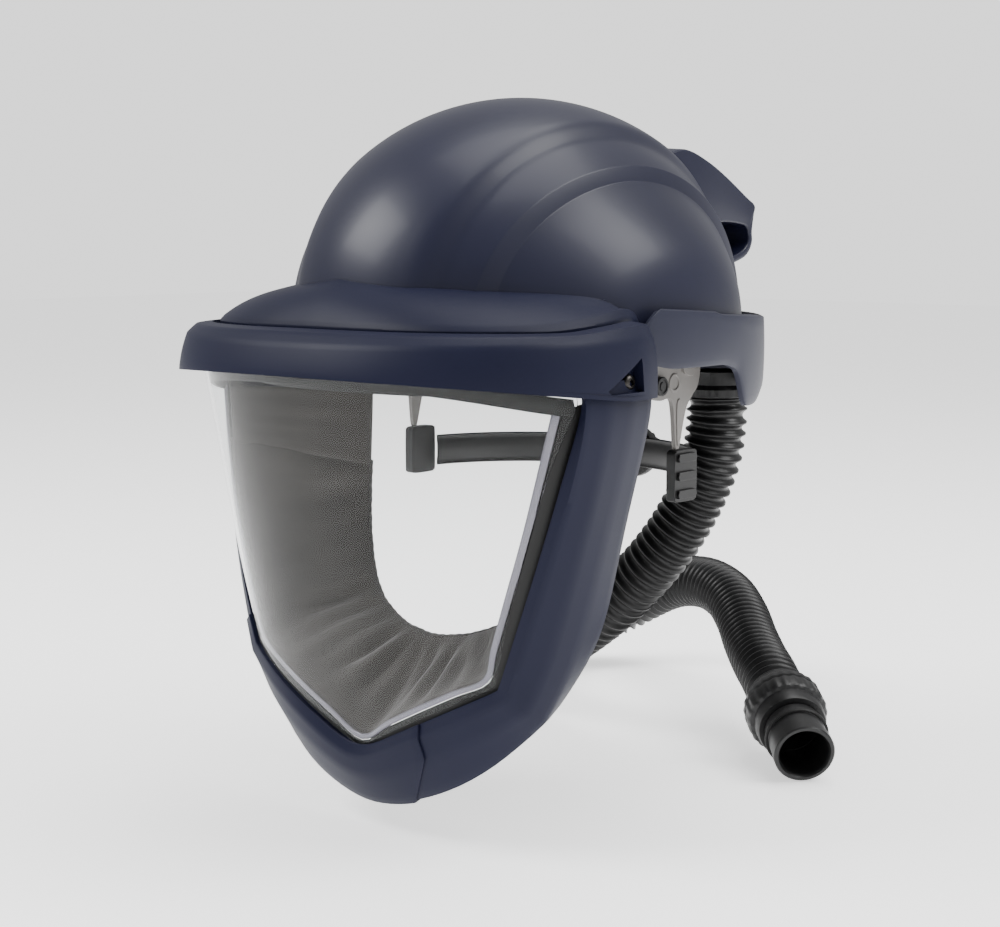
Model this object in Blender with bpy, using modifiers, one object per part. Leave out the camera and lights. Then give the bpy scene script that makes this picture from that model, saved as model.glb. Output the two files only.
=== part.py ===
"""Powered air respirator: helmet, lift-up visor with face seal, head harness and breathing hose.

Metres, +Z up.  The wearer faces -Y and the wearer's left is +X.  The origin is the middle of the
headband's ring, where the wearer's head holds the helmet.
"""
import math

import bmesh
import bpy
from mathutils import Matrix, Vector

MM = 0.001
GAP = 0.3 * MM                      # clearance left between pieces that touch

# ---- driving dimensions -----------------------------------------------------------------------
SHELL_HALF_WIDTH = 112 * MM
SHELL_HALF_LENGTH = 143.5 * MM
SHELL_HEIGHT = 120 * MM
SHELL_RIM_Z = -6 * MM
SHELL_WALL = 2.4 * MM
OUTLINE_POWER = 2.4                 # squareness of the visor's and brim's plan outlines

LENS_HALF_WIDTH = 128 * MM
LENS_DEPTH = 105.5 * MM
LENS_CENTRE_Y = -72 * MM
LENS_LEAN = 0.225                   # the lens falls back towards the chin
LENS_TOP_Z = -12 * MM
LENS_WALL = 1.6 * MM

COVER_WALL = 2.0 * MM

PIVOT_Y = -58 * MM
PIVOT_Z = -20 * MM
PIVOT_RADIUS = 4.5 * MM
BLOCK_OUTER_X = 116.0 * MM
SCREW_Y = -72 * MM                  # the visor's visible fixing screws, each in a wedge pocket
SCREW_Z = -22.5 * MM
POCKET_FLOOR_X = 124 * MM

BAND_HALF_WIDTH = 120 * MM          # rear neck band
BAND_HALF_LENGTH = 150 * MM

BRIM_HALF_WIDTH = 116.3 * MM
BRIM_DEPTH = 89.6 * MM
# Where the brim meets the shell, as (x, z) from the middle outwards, and its edge's rear end (mm).
BRIM_REAR = [(0, 26), (12, 24.5), (34, 22.4), (47, 22.6), (71, 21.6), (88, 20), (97, 18), (101, 16)]
BRIM_END = [(114.6, -62, 7.6), (111.6, -50, 7.6), (108.2, -41, 4.0)]

KNOB_CENTRE = Vector((0, 104.4, -79)) * MM   # inner face of the ratchet's knob

HOSE_RADIUS = 17.5 * MM
COLLAR_RADIUS = 23.5 * MM
SPIGOT_RADIUS = 17.4 * MM

# The breathing hose's centre line, from the helmet's cuff to the connector's collar.
HOSE_ROUTE = [
    (50, 113, -46), (50, 113, -60), (47, 113, -80), (38.5, 112, -102), (25, 110, -126),
    (6, 108, -150), (-20, 108, -175), (-54, 113, -199), (-95, 128, -221), (-135, 157, -236),
    (-161, 199, -239.4), (-161, 245, -234), (-137, 277, -217), (-100, 281, -197), (-65, 270, -190),
    (-32, 250, -192), (-5, 226, -199), (19, 200, -207), (41, 177, -213), (58.5, 159.8, -217),
    (78, 141, -224),
]
CONNECTOR_START = Vector((78, 141, -224)) * MM
CONNECTOR_END = Vector((122.5, 98, -240.9)) * MM

parts = bpy.data.collections.new("powered_air_respirator")
cutters = bpy.data.collections.new("cutters")


# ---- materials --------------------------------------------------------------------------------
def material(name, colour, roughness, metallic=0.0, alpha=1.0, transmission=0.0):
    mat = bpy.data.materials.new(name)
    mat.use_nodes = True
    shader = mat.node_tree.nodes["Principled BSDF"]
    shader.inputs["Base Color"].default_value = (*colour, 1.0)
    shader.inputs["Roughness"].default_value = roughness
    shader.inputs["Metallic"].default_value = metallic
    shader.inputs["Alpha"].default_value = alpha
    shader.inputs["Transmission Weight"].default_value = transmission
    return mat


def make_materials():
    return {
        "shell": material("satin_navy_shell", (0.030, 0.032, 0.065), 0.32),
        "frame": material("matte_navy_plastic", (0.045, 0.050, 0.125), 0.45),
        "band": material("grey_blue_plastic", (0.075, 0.080, 0.125), 0.40),
        "lens": material("clear_lens", (0.95, 0.96, 0.96), 0.05, 0.0, 0.25, 0.9),
        "black": material("black_plastic", (0.018, 0.018, 0.019), 0.45),
        "grey": material("light_grey_plastic", (0.42, 0.41, 0.39), 0.50),
        "rubber": material("black_rubber", (0.014, 0.014, 0.015), 0.60),
        "fabric": material("brown_grey_fabric", (0.10, 0.095, 0.090), 0.85),
        "webbing": material("black_webbing", (0.020, 0.020, 0.022), 0.80),
        "steel": material("dark_steel", (0.16, 0.14, 0.12), 0.35, 1.0),
        "brass": material("brass_insert", (0.62, 0.45, 0.20), 0.35, 1.0),
    }


# ---- building helpers ---------------------------------------------------------------------------
def add_object(name, mesh, mat, collection=None):
    obj = bpy.data.objects.new(name, mesh)
    (collection or parts).objects.link(obj)
    if mat is not None:
        mesh.materials.append(mat)
    return obj


def finish_mesh(name, bm, mat, smooth=True, collection=None):
    bmesh.ops.remove_doubles(bm, verts=bm.verts, dist=0.01 * MM)
    bmesh.ops.recalc_face_normals(bm, faces=bm.faces)
    mesh = bpy.data.meshes.new(name)
    bm.to_mesh(mesh)
    bm.free()
    if smooth:
        mesh.shade_smooth()
        mesh.set_sharp_from_angle(angle=math.radians(35))
    return add_object(name, mesh, mat, collection)


def grid_faces(bm, rows, wrap=False):
    """Faces between neighbouring rows of points; wrap joins each row's end to its start."""
    made = [[bm.verts.new(point) for point in row] for row in rows]
    for lower, upper in zip(made, made[1:]):
        count = len(lower)
        for i in range(count if wrap else count - 1):
            j = (i + 1) % count
            bm.faces.new((lower[i], lower[j], upper[j], upper[i]))
    return made


def skin(name, rows, wall, mat, wrap=False, smooth=True, collection=None):
    """An open surface through rows of points, thickened to its inner side.

    The rows run so that the faces' normals point outwards."""
    bm = bmesh.new()
    grid_faces(bm, rows, wrap)
    mesh = bpy.data.meshes.new(name)
    bmesh.ops.remove_doubles(bm, verts=bm.verts, dist=0.01 * MM)
    bm.to_mesh(mesh)
    bm.free()
    if smooth:
        mesh.shade_smooth()
        mesh.set_sharp_from_angle(angle=math.radians(35))
    obj = add_object(name, mesh, mat, collection)
    thick = obj.modifiers.new("wall", "SOLIDIFY")
    thick.thickness = wall
    thick.offset = -1.0
    thick.use_even_offset = True
    thick.thickness_clamp = 0.0
    return obj


def box(name, low, high, mat, round_edge=0.0, collection=None):
    bm = bmesh.new()
    bmesh.ops.create_cube(bm, size=1.0)
    size = [h - l for l, h in zip(low, high)]
    middle = [(h + l) / 2 for l, h in zip(low, high)]
    bmesh.ops.scale(bm, vec=size, verts=bm.verts)
    bmesh.ops.translate(bm, vec=middle, verts=bm.verts)
    obj = finish_mesh(name, bm, mat, smooth=False, collection=collection)
    if round_edge:
        edge = obj.modifiers.new("rounded_edges", "BEVEL")
        edge.width = round_edge
        edge.segments = 2
    return obj


def place_on_axis(obj, start, direction):
    """Turns a piece built along local +Z so that it starts at a point and runs along a direction."""
    turn = Vector((0, 0, 1)).rotation_difference(Vector(direction)).to_matrix().to_4x4()
    obj.matrix_world = Matrix.Translation(start) @ turn
    return obj


def turned(name, profile, start, direction, mat, sides=32, collection=None):
    """A solid or ring of revolution; profile is (radius, height) points, up its outer side.

    A profile that starts on the axis ends on it too; any other is joined into a ring."""
    points = [(radius, 0.0, height) for radius, height in reversed(profile)]
    edges = [(k, k + 1) for k in range(len(points) - 1)]
    if profile[0][0] > 0:
        edges.append((len(points) - 1, 0))
    mesh = bpy.data.meshes.new(name)
    mesh.from_pydata(points, edges, [])
    obj = add_object(name, mesh, mat, collection)
    spin = obj.modifiers.new("turned", "SCREW")
    spin.axis = "Z"
    spin.angle = 2 * math.pi
    spin.screw_offset = 0.0
    spin.steps = sides
    spin.render_steps = sides
    spin.use_merge_vertices = True
    spin.merge_threshold = 0.01 * MM
    return place_on_axis(obj, start, direction)


def cylinder_profile(radius, low, high):
    return [(0, low), (radius, low), (radius, high), (0, high)]


def tube_profile(inner, outer, low, high):
    return [(inner, low), (outer, low), (outer, high), (inner, high)]


def cutter(obj):
    obj.hide_render = True
    obj.display_type = "WIRE"
    return obj


def cut(obj, tool, operation="DIFFERENCE"):
    change = obj.modifiers.new("cut_by_" + tool.name, "BOOLEAN")
    change.operation = operation
    change.object = cutter(tool)
    return obj


def extrude_outline(name, loops, x_low, x_high, mat, collection=None):
    """A plate whose outline is drawn in the (y, z) plane, from x_low to x_high."""
    curve = bpy.data.curves.new(name, "CURVE")
    curve.dimensions = "2D"
    curve.fill_mode = "BOTH"
    curve.extrude = (x_high - x_low) / 2
    for loop in loops:
        spline = curve.splines.new("POLY")
        spline.points.add(len(loop) - 1)
        spline.use_cyclic_u = True
        for point, (y, z) in zip(spline.points, loop):
            point.co = (y * MM, z * MM, 0, 1)
    obj = bpy.data.objects.new(name + "_outline", curve)
    bpy.context.scene.collection.objects.link(obj)
    # the curve's (x, y) plane becomes the (y, z) plane, and its depth runs along X
    to_side = Matrix(((0, 0, 1, (x_low + x_high) / 2), (1, 0, 0, 0), (0, 1, 0, 0), (0, 0, 0, 1)))
    depsgraph = bpy.context.evaluated_depsgraph_get()
    mesh = bpy.data.meshes.new_from_object(obj.evaluated_get(depsgraph))
    bpy.data.objects.remove(obj)
    mesh.transform(to_side)
    bm = bmesh.new()
    bm.from_mesh(mesh)
    bpy.data.meshes.remove(mesh)
    return finish_mesh(name, bm, mat, smooth=False, collection=collection)


def smooth_route(points, spacing):
    """Points along a Catmull-Rom curve through the given points, a steady distance apart."""
    padded = [points[0] * 2 - points[1]] + points + [points[-1] * 2 - points[-2]]
    dense = []
    steps = 24
    for a, b, c, d in zip(padded, padded[1:], padded[2:], padded[3:]):
        for i in range(steps):
            t = i / steps
            dense.append(0.5 * (2 * b + (c - a) * t + (2 * a - 5 * b + 4 * c - d) * t * t
                                + (3 * b - a - 3 * c + d) * t ** 3))
    dense.append(points[-1])
    lengths = [0.0]
    for p, q in zip(dense, dense[1:]):
        lengths.append(lengths[-1] + (q - p).length)
    count = max(2, round(lengths[-1] / spacing))
    result = []
    k = 0
    for i in range(count + 1):
        goal = lengths[-1] * i / count
        while k < len(dense) - 2 and lengths[k + 1] < goal:
            k += 1
        share = (goal - lengths[k]) / max(lengths[k + 1] - lengths[k], 1e-9)
        result.append(dense[k].lerp(dense[k + 1], min(max(share, 0.0), 1.0)))
    return result


def mirrored(points):
    """The given station points on the wearer's left, then the same on the right, middle once."""
    right = [Vector((-p[0], p[1], p[2])) for p in reversed(points[:-1])]
    return [Vector(p) for p in points] + right


def blend(low, high, share):
    return low + (high - low) * share


def smooth_step(low, high, value):
    t = min(max((value - low) / (high - low), 0.0), 1.0)
    return t * t * (3 - 2 * t)


# ---- shapes shared by several parts -------------------------------------------------------------
def outline(half_width, depth, centre_y, angle, power=OUTLINE_POWER):
    """Plan outline of a visor piece: angle 0 is the front middle, +90 degrees the wearer's left."""
    s, c = math.sin(angle), math.cos(angle)
    x = half_width * math.copysign(abs(s) ** (2 / power), s)
    y = centre_y - depth * abs(c) ** (2 / power)
    return x, y


def shell_relief(y, z):
    """How far the shell lies inside its plain dome: a raised crown, a terrace and a side dome."""
    if z <= 0:
        across, up = (y + 2 * MM) / (108 * MM), 0.0
    else:
        across, up = (y + 2 * MM) / (108 * MM), z / (79 * MM)
    reach = math.hypot(across, up)
    climb = (up / reach) ** 2 if reach else 1.0
    crown_edge = 1.19 + 0.10 * climb
    side_dome = 5.0 * MM * smooth_step(0.35, 1.0, reach)
    riser = 2.4 * MM * smooth_step(1.0, 1.07, reach)
    crown_step = 2.6 * MM * smooth_step(crown_edge - 0.07, crown_edge + 0.06, reach)
    fade = smooth_step(-6 * MM, 24 * MM, z)
    return (side_dome - riser - crown_step) * fade


def shell_point(azimuth, height_angle, inset=0.0):
    """A point on the shell's outside, or inset below it; azimuth 0 is the front."""
    x = SHELL_HALF_WIDTH * math.sin(azimuth) * math.cos(height_angle)
    y = -SHELL_HALF_LENGTH * math.cos(azimuth) * math.cos(height_angle)
    z = SHELL_HEIGHT * math.sin(height_angle)
    normal = Vector((x / SHELL_HALF_WIDTH ** 2, y / SHELL_HALF_LENGTH ** 2, z / SHELL_HEIGHT ** 2))
    normal.normalize()
    return Vector((x, y, z)) - normal * (shell_relief(y, z) + inset)


def lens_y(x, z, out=0.0):
    """The lens's front surface, pushed forward by out."""
    share = min(abs(x) / (LENS_HALF_WIDTH + out), 1.0)
    bulge = (1 - share ** OUTLINE_POWER) ** (1 / OUTLINE_POWER)
    return LENS_CENTRE_Y - LENS_LEAN * z - (LENS_DEPTH + out) * bulge


def lens_point(x, z, inward=0.0):
    """A point of the lens's front surface, or inward below it along the surface's normal."""
    step = 0.1 * MM
    slope_x = (lens_y(x + step, z) - lens_y(x - step, z)) / (2 * step)
    slope_z = (lens_y(x, z + step) - lens_y(x, z - step)) / (2 * step)
    front = Vector((slope_x, -1.0, slope_z)).normalized()
    return Vector((x, lens_y(x, z), z)) - front * inward


def lens_half_width(z):
    """Half-width of the lens at a height above its lower corners."""
    if z > -33 * MM:
        return 122 * MM
    return blend(122 * MM, 83 * MM, (-33 * MM - z) / (136.5 * MM))


def lens_bottom(x):
    """Height of the lens's V-shaped lower edge."""
    return blend(-211 * MM, -169.5 * MM, min(abs(x) / (83 * MM), 1.0))


# Stations round the visor's opening, from the left cheek down to the middle of the chin (mm).
# Each row holds one line along the frame: front edge, crease, outer corner and rear edge.
LENS_EDGE = [(122, -32), (116.5, -60), (109, -92), (98.5, -127), (89.5, -153), (83.5, -169.5),
             (66, -178.6), (45, -189.1), (22, -200.5), (0, -211.5)]
FRAME_FRONT = [(127.5, -106, -32), (122.5, -108, -61), (114.5, -112.5, -93), (104, -117, -129),
               (95, -119, -157), (88.5, -120.5, -175), (69, -127.5, -186), (46, -132.5, -197),
               (22, -134, -208.5), (0, -132, -218.5)]
FRAME_CREASE = [(129.5, -90, -32), (125.5, -93, -62), (119, -97, -94), (110, -101, -131),
                (102, -104, -160), (94.5, -111, -182), (72, -123, -196), (48, -129, -208),
                (23, -131, -219), (0, -130, -227)]
FRAME_CORNER = [(128.5, -70, -32), (124, -74, -62), (118.5, -79, -94), (111, -83, -131),
                (104, -86, -161), (94.5, -97, -190), (73, -110, -214), (49, -117, -229),
                (24, -119, -238.5), (0, -120, -243)]
FRAME_REAR = [(125, -51, -32), (120.5, -55, -62), (115.5, -61, -94), (107.5, -61, -130),
              (99.5, -62, -158), (87, -76, -186), (68, -91, -208), (46, -97, -223),
              (23, -100, -233), (0, -101, -238)]
FACE_OVAL = [(77, -40, -38), (77, -42, -78), (75, -45, -97), (69, -51, -117), (59, -58, -137),
             (47, -64, -149), (34, -68, -156), (22, -71, -160), (11, -72, -162), (0, -73, -163)]


def millimetres(points):
    return [Vector(p) * MM for p in points]


def lens_edge_points(outward, inward):
    """The lens's edge line, moved outwards in its own surface and then inwards below it."""
    points = []
    middle = Vector((0.0, -110 * MM))
    for x, z in LENS_EDGE:
        flat = Vector((x * MM, z * MM))
        away = (flat - middle).normalized() * outward
        edge = flat + away
        edge.x = max(edge.x, 0.0) if x else 0.0
        points.append(lens_point(edge.x, edge.y, inward))
    return points


def frame_rows():
    """Lines along the visor frame from its lens edge to its rear edge, all stations."""
    rows = [lens_edge_points(1.2 * MM, -0.6 * MM)]
    rows += [millimetres(line) for line in (FRAME_FRONT, FRAME_CREASE, FRAME_CORNER, FRAME_REAR)]
    return [mirrored(row) for row in rows]


def inset_rows(rows, amount):
    """Moves each point of a grid inwards along the grid's own normal, by amount(row, column)."""
    moved = []
    for r, row in enumerate(rows):
        line = []
        for c, point in enumerate(row):
            along = row[min(c + 1, len(row) - 1)] - row[max(c - 1, 0)]
            across = rows[min(r + 1, len(rows) - 1)][c] - rows[max(r - 1, 0)][c]
            normal = along.cross(across).normalized()
            line.append(point - normal * amount(r, c))
        moved.append(line)
    return moved


def stretched(points, amount):
    """The same line of points with its two ends moved on by amount."""
    first = points[0] + (points[0] - points[1]).normalized() * amount
    last = points[-1] + (points[-1] - points[-2]).normalized() * amount
    return [first] + points[1:-1] + [last]


def extended(rows, amount):
    """A grid of points that reaches further by amount at each of its four edges."""
    wider = [stretched(row, amount) for row in rows]
    columns = [stretched(list(column), amount) for column in zip(*wider)]
    return [list(row) for row in zip(*columns)]


def refined(rows, per_step):
    """Adds points between a grid's columns, on smooth curves through the given ones."""
    result = []
    for row in rows:
        padded = [row[0] * 2 - row[1]] + row + [row[-1] * 2 - row[-2]]
        line = []
        for a, b, c, d in zip(padded, padded[1:], padded[2:], padded[3:]):
            for i in range(per_step):
                t = i / per_step
                line.append(0.5 * (2 * b + (c - a) * t + (2 * a - 5 * b + 4 * c - d) * t * t
                                   + (3 * b - a - 3 * c + d) * t ** 3))
        line.append(row[-1])
        result.append(line)
    return result


# ---- helmet -------------------------------------------------------------------------------------
def make_helmet_shell(mats):
    around, up = 44, 11
    low = math.asin(SHELL_RIM_Z / SHELL_HEIGHT)
    rows = []
    for k in range(up):
        height_angle = blend(low, math.radians(86), k / (up - 1))
        rows.append([shell_point(2 * math.pi * i / around, height_angle) for i in range(around)])
    bm = bmesh.new()
    made = grid_faces(bm, rows, wrap=True)
    top = bm.verts.new(shell_point(0, math.pi / 2))
    last = made[-1]
    for i in range(around):
        bm.faces.new((last[i], last[(i + 1) % around], top))
    mesh = bpy.data.meshes.new("helmet_shell")
    bm.to_mesh(mesh)
    bm.free()
    mesh.shade_smooth()
    shell = add_object("helmet_shell", mesh, mats["shell"])
    wall = shell.modifiers.new("wall", "SOLIDIFY")
    wall.thickness = SHELL_WALL
    wall.offset = -1.0
    wall.use_even_offset = True
    return shell


def shell_body(name, grow):
    """A closed dome a little larger than the shell, to cut neighbours back from it."""
    around, up = 44, 11
    low = math.asin(2 * SHELL_RIM_Z / SHELL_HEIGHT)
    bm = bmesh.new()
    rows = []
    for k in range(up):
        height_angle = blend(low, math.radians(86), k / (up - 1))
        rows.append([shell_point(2 * math.pi * i / around, height_angle, -grow)
                     for i in range(around)])
    made = grid_faces(bm, rows, wrap=True)
    top = bm.verts.new(shell_point(0, math.pi / 2, -grow))
    for i in range(around):
        bm.faces.new((made[-1][i], made[-1][(i + 1) % around], top))
    bm.faces.new(list(reversed(made[0])))
    return cutter(finish_mesh(name, bm, None, collection=cutters))


def make_crown_tail(mats, dome):
    """The ridge that runs off the back of the crown, with the hanging loop under it."""
    outer = [(60, 86), (100, 96.5), (124, 89.5), (146, 80.5), (178, 64.7), (174.5, 49), (175.5, 42),
             (171, 35), (161.7, 31), (120, 23), (105, 25), (80, 60)]
    hole = [(120, 50), (140, 54), (152, 54.6), (163, 51.5), (169.5, 48), (171, 43), (167.5, 38.5),
            (160, 35.5), (138, 31), (120, 28)]
    tail = extrude_outline("crown_tail", [outer, hole], -36 * MM, 36 * MM, mats["shell"])
    return cut(tail, dome)


def spaced(points, count):
    """The same smooth line through the points, as count equal steps."""
    line = refined([points], 12)[0]
    lengths = [0.0]
    for p, q in zip(line, line[1:]):
        lengths.append(lengths[-1] + (q - p).length)
    result = []
    for i in range(count + 1):
        goal = lengths[-1] * i / count
        k = min(max(j for j, reach in enumerate(lengths) if reach <= goal + 1e-9), len(line) - 2)
        share = (goal - lengths[k]) / (lengths[k + 1] - lengths[k])
        result.append(line[k].lerp(line[k + 1], min(share, 1.0)))
    return result


def make_brim(mats, dome):
    """The peak: a thin skin from the dome down to an edge just inside the visor's top band."""
    steps = 18
    rear = []
    for x, z in BRIM_REAR:
        y = -SHELL_HALF_LENGTH * math.sqrt(1 - (x * MM / SHELL_HALF_WIDTH) ** 2
                                           - (z * MM / SHELL_HEIGHT) ** 2)
        normal = Vector((x * MM / SHELL_HALF_WIDTH ** 2, y / SHELL_HALF_LENGTH ** 2,
                         z * MM / SHELL_HEIGHT ** 2)).normalized()
        rear.append(Vector((x * MM, y, z * MM)) + normal * (1.0 * MM - shell_relief(y, z * MM)))
    edge = []
    for k in range(10):
        x, y = outline(BRIM_HALF_WIDTH, BRIM_DEPTH, -75 * MM, math.radians(10 * k))
        edge.append(Vector((x, y, blend(3.8, 3.0, k / 9) * MM + 3.4 * MM * smooth_step(7, 9.4, k))))
    edge += millimetres(BRIM_END)
    rear_line, edge_line = spaced(rear, steps), spaced(edge, steps)
    rows = [[], [], [], [], []]
    for k, (top, low) in enumerate(zip(rear_line, edge_line)):
        share = k / steps
        rows[0].append(Vector((low.x * 0.992, low.y * 0.992, low.z - 5.0 * MM)))
        rows[1].append(low)
        rows[2].append(top.lerp(low, 0.86) + Vector((0, 0, blend(2.6, 1.6, share) * MM)))
        rows[3].append(top.lerp(low, 0.45) + Vector((0, 0, blend(3.4, 2.4, share) * MM)))
        rows[4].append(top)
    rows = [list(reversed(mirrored(list(reversed(row))))) for row in rows]
    brim = skin("brim_cover", rows, 2.2 * MM, mats["frame"])
    return cut(brim, dome)


def make_rear_band(mats):
    """The neck band round the back of the shell, with a prong below each ear."""
    steps = 44
    first = math.radians(71.7)
    lows, mids, highs = [], [], []
    for k in range(steps + 1):
        angle = blend(first, 2 * math.pi - first, k / steps)
        x = BAND_HALF_WIDTH * math.sin(angle)
        y = -BAND_HALF_LENGTH * math.cos(angle)
        top = blend(10, 2, min(max((y + 40 * MM) / (135 * MM), 0.0), 1.0)) * MM
        side = y / MM
        bottom = -18.0
        bottom -= 6.0 * smooth_step(10, 30, side)
        bottom -= 19.0 * smooth_step(28, 48, side)
        bottom += 6.0 * smooth_step(60, 90, side)
        highs.append(Vector((x, y, top)))
        mids.append(Vector((x * 1.004, y * 1.004, blend(top, bottom * MM, 0.35))))
        lows.append(Vector((x * 0.993, y * 0.993, bottom * MM)))
    return skin("rear_band", [lows, mids, highs], 2.8 * MM, mats["band"])


def make_brow_seal(mats):
    """The soft strip that closes the top of the visor against the helmet."""
    steps = 24
    last = math.radians(50)
    rows = []
    for z, width, depth in ((-32, 100, 70), (-17, 106, 76), (-3, 109, 79)):
        rows.append([])
        for k in range(steps + 1):
            angle = blend(-last, last, k / steps)
            x, y = outline(width * MM, depth * MM, -72 * MM, angle)
            rows[-1].append(Vector((x, y, z * MM)))
    return skin("brow_seal", rows, 1.8 * MM, mats["rubber"])


def make_air_duct(mats):
    """The flat duct inside the shell that brings air from the hose over the head to the brow."""
    path = [((52, 112, -24), 0.20), ((50, 110, -6), 0.30), ((43, 103, 22), 0.55),
            ((30, 88, 52), 0.80), ((15, 62, 82), 1.0), ((3, 25, 98), 1.0), ((0, -15, 100), 1.0),
            ((0, -55, 91), 1.0), ((0, -88, 69), 1.0), ((0, -108, 44), 1.0)]
    centres = [Vector(p) * MM for p, _ in path]
    sections = []
    corners = 16
    for k, (centre, (_, flatness)) in enumerate(zip(centres, path)):
        ahead = centres[min(k + 1, len(path) - 1)] - centres[max(k - 1, 0)]
        ahead.normalize()
        outward = Vector((centre.x / SHELL_HALF_WIDTH ** 2, centre.y / SHELL_HALF_LENGTH ** 2,
                          max(centre.z, 0) / SHELL_HEIGHT ** 2))
        outward -= ahead * outward.dot(ahead)
        outward.normalize()
        side = ahead.cross(outward)
        half_wide = blend(14, 24, flatness) * MM
        half_high = blend(12, 5.5, flatness) * MM
        section = []
        for i in range(corners):
            angle = 2 * math.pi * i / corners
            c, s = math.cos(angle), math.sin(angle)
            u = half_wide * math.copysign(abs(c) ** 0.6, c)
            v = half_high * math.copysign(abs(s) ** 0.6, s)
            section.append(centre + side * u + outward * v)
        sections.append(section)
    return skin("air_duct", sections, 1.4 * MM, mats["black"], wrap=True)


def make_hose_cuff(mats):
    """The turning cuff that the hose is held in, below the duct's inlet."""
    start = Vector((50, 113, -45.4)) * MM
    profile = [(12.4 * MM, 0), (18.8 * MM, 0), (18.8 * MM, 5.0 * MM), (15.0 * MM, 7.0 * MM),
               (15.0 * MM, 15 * MM), (12.4 * MM, 15 * MM)]
    return turned("hose_cuff", profile, start, (0, 0, 1), mats["black"])


# ---- head harness -------------------------------------------------------------------------------
def ring_rows(half_width, half_length, centre_y, levels, steps, first=0.0, last=2 * math.pi):
    rows = []
    closed = abs(last - first - 2 * math.pi) < 1e-6
    count = steps if closed else steps + 1
    for level in levels:
        row = []
        for k in range(count):
            angle = blend(first, last, k / steps)
            row.append(Vector((half_width * MM * math.sin(angle),
                               (centre_y - half_length * math.cos(angle)) * MM, level * MM)))
        rows.append(row)
    return rows


def make_headband(mats):
    rows = ring_rows(84, 101, -2, (-14, 0, 14), 40)
    return skin("headband", rows, 1.8 * MM, mats["black"], wrap=True)


def make_sweatband(mats):
    span = math.radians(62)
    rows = ring_rows(81.6, 98.6, -2, (-16, -5, 6, 15), 20, -span, span)
    return skin("sweatband", rows, 5.0 * MM, mats["fabric"])


def make_crown_straps(mats):
    """Two webbing straps that cross over the head, one above the other."""
    for name, turn, apex in (("crown_strap_a", 38, 82), ("crown_strap_b", -38, 84.6)):
        direction = math.radians(turn)
        along = Vector((math.sin(direction), -math.cos(direction), 0))
        across = Vector((math.cos(direction), math.sin(direction), 0))
        reach = 95.0
        rows = []
        for offset in (-9, 9):
            row = []
            for k in range(19):
                angle = blend(math.radians(5), math.radians(175), k / 18)
                place = along * (math.cos(angle) * (reach + 2.5) * MM) + across * (offset * MM)
                place.z = math.sin(angle) * apex * MM
                place.y -= 2 * MM
                row.append(place)
            rows.append(row)
        skin(name, rows, 1.2 * MM, mats["webbing"])


def make_brackets(mats):
    """Grey hangers beside each ear, each with its pin and a black buckle for the nape strap."""
    outline_yz = [(-15, -12), (-13, -34), (-4, -38), (5, -37), (8, -44), (8.5, -62), (14.5, -64),
                  (17.5, -44), (20, -36), (30, -33), (31, -12), (20, 0), (-6, 0)]
    pin_hole_y, pin_z = -5 * MM, -30 * MM
    for side, sign in (("left", 1), ("right", -1)):
        low, high = sorted((sign * 92 * MM, sign * 95 * MM))
        plate = extrude_outline("suspension_bracket_" + side, [outline_yz], low, high, mats["grey"])
        tool = turned("bracket_bore_" + side, cylinder_profile(3.3 * MM, 0, 20 * MM),
                      (sign * 83 * MM, pin_hole_y, pin_z), (sign, 0, 0), None, 20, cutters)
        cut(plate, tool)
        turned("bracket_pin_" + side,
               [(0, 0), (3.0 * MM, 0), (3.0 * MM, 8.8 * MM), (5.0 * MM, 8.8 * MM),
                (5.0 * MM, 10.6 * MM), (0, 10.6 * MM)],
               (sign * 86.6 * MM, pin_hole_y, pin_z), (sign, 0, 0), mats["black"], 20)
        inner, outer = sorted((sign * 90.5 * MM, sign * 98 * MM))
        box("strap_buckle_" + side, (inner, 7 * MM, -92 * MM), (outer, 27 * MM, -64.4 * MM),
            mats["black"], 1.5 * MM)


def make_nape(mats):
    """The nape strap, its ratchet housing and the knob that winds it."""
    rows = []
    for level in (-88, -70):
        row = []
        for k in range(25):
            angle = blend(math.radians(100), math.radians(260), k / 24)
            row.append(Vector((89 * math.sin(angle), 10 - 84 * math.cos(angle), level)) * MM)
        rows.append(row)
    skin("nape_strap", rows, 1.6 * MM, mats["black"])
    box("ratchet_housing", (-22 * MM, 94.4 * MM, -91 * MM), (22 * MM, 104 * MM, -67 * MM),
        mats["black"], 2 * MM)
    knob_profile = [(0, 0), (11 * MM, 0), (11 * MM, 9 * MM), (9.5 * MM, 10.5 * MM), (0, 10.5 * MM)]
    turned("ratchet_knob", knob_profile, KNOB_CENTRE, (0, 1, 0), mats["black"], 40)


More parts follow.
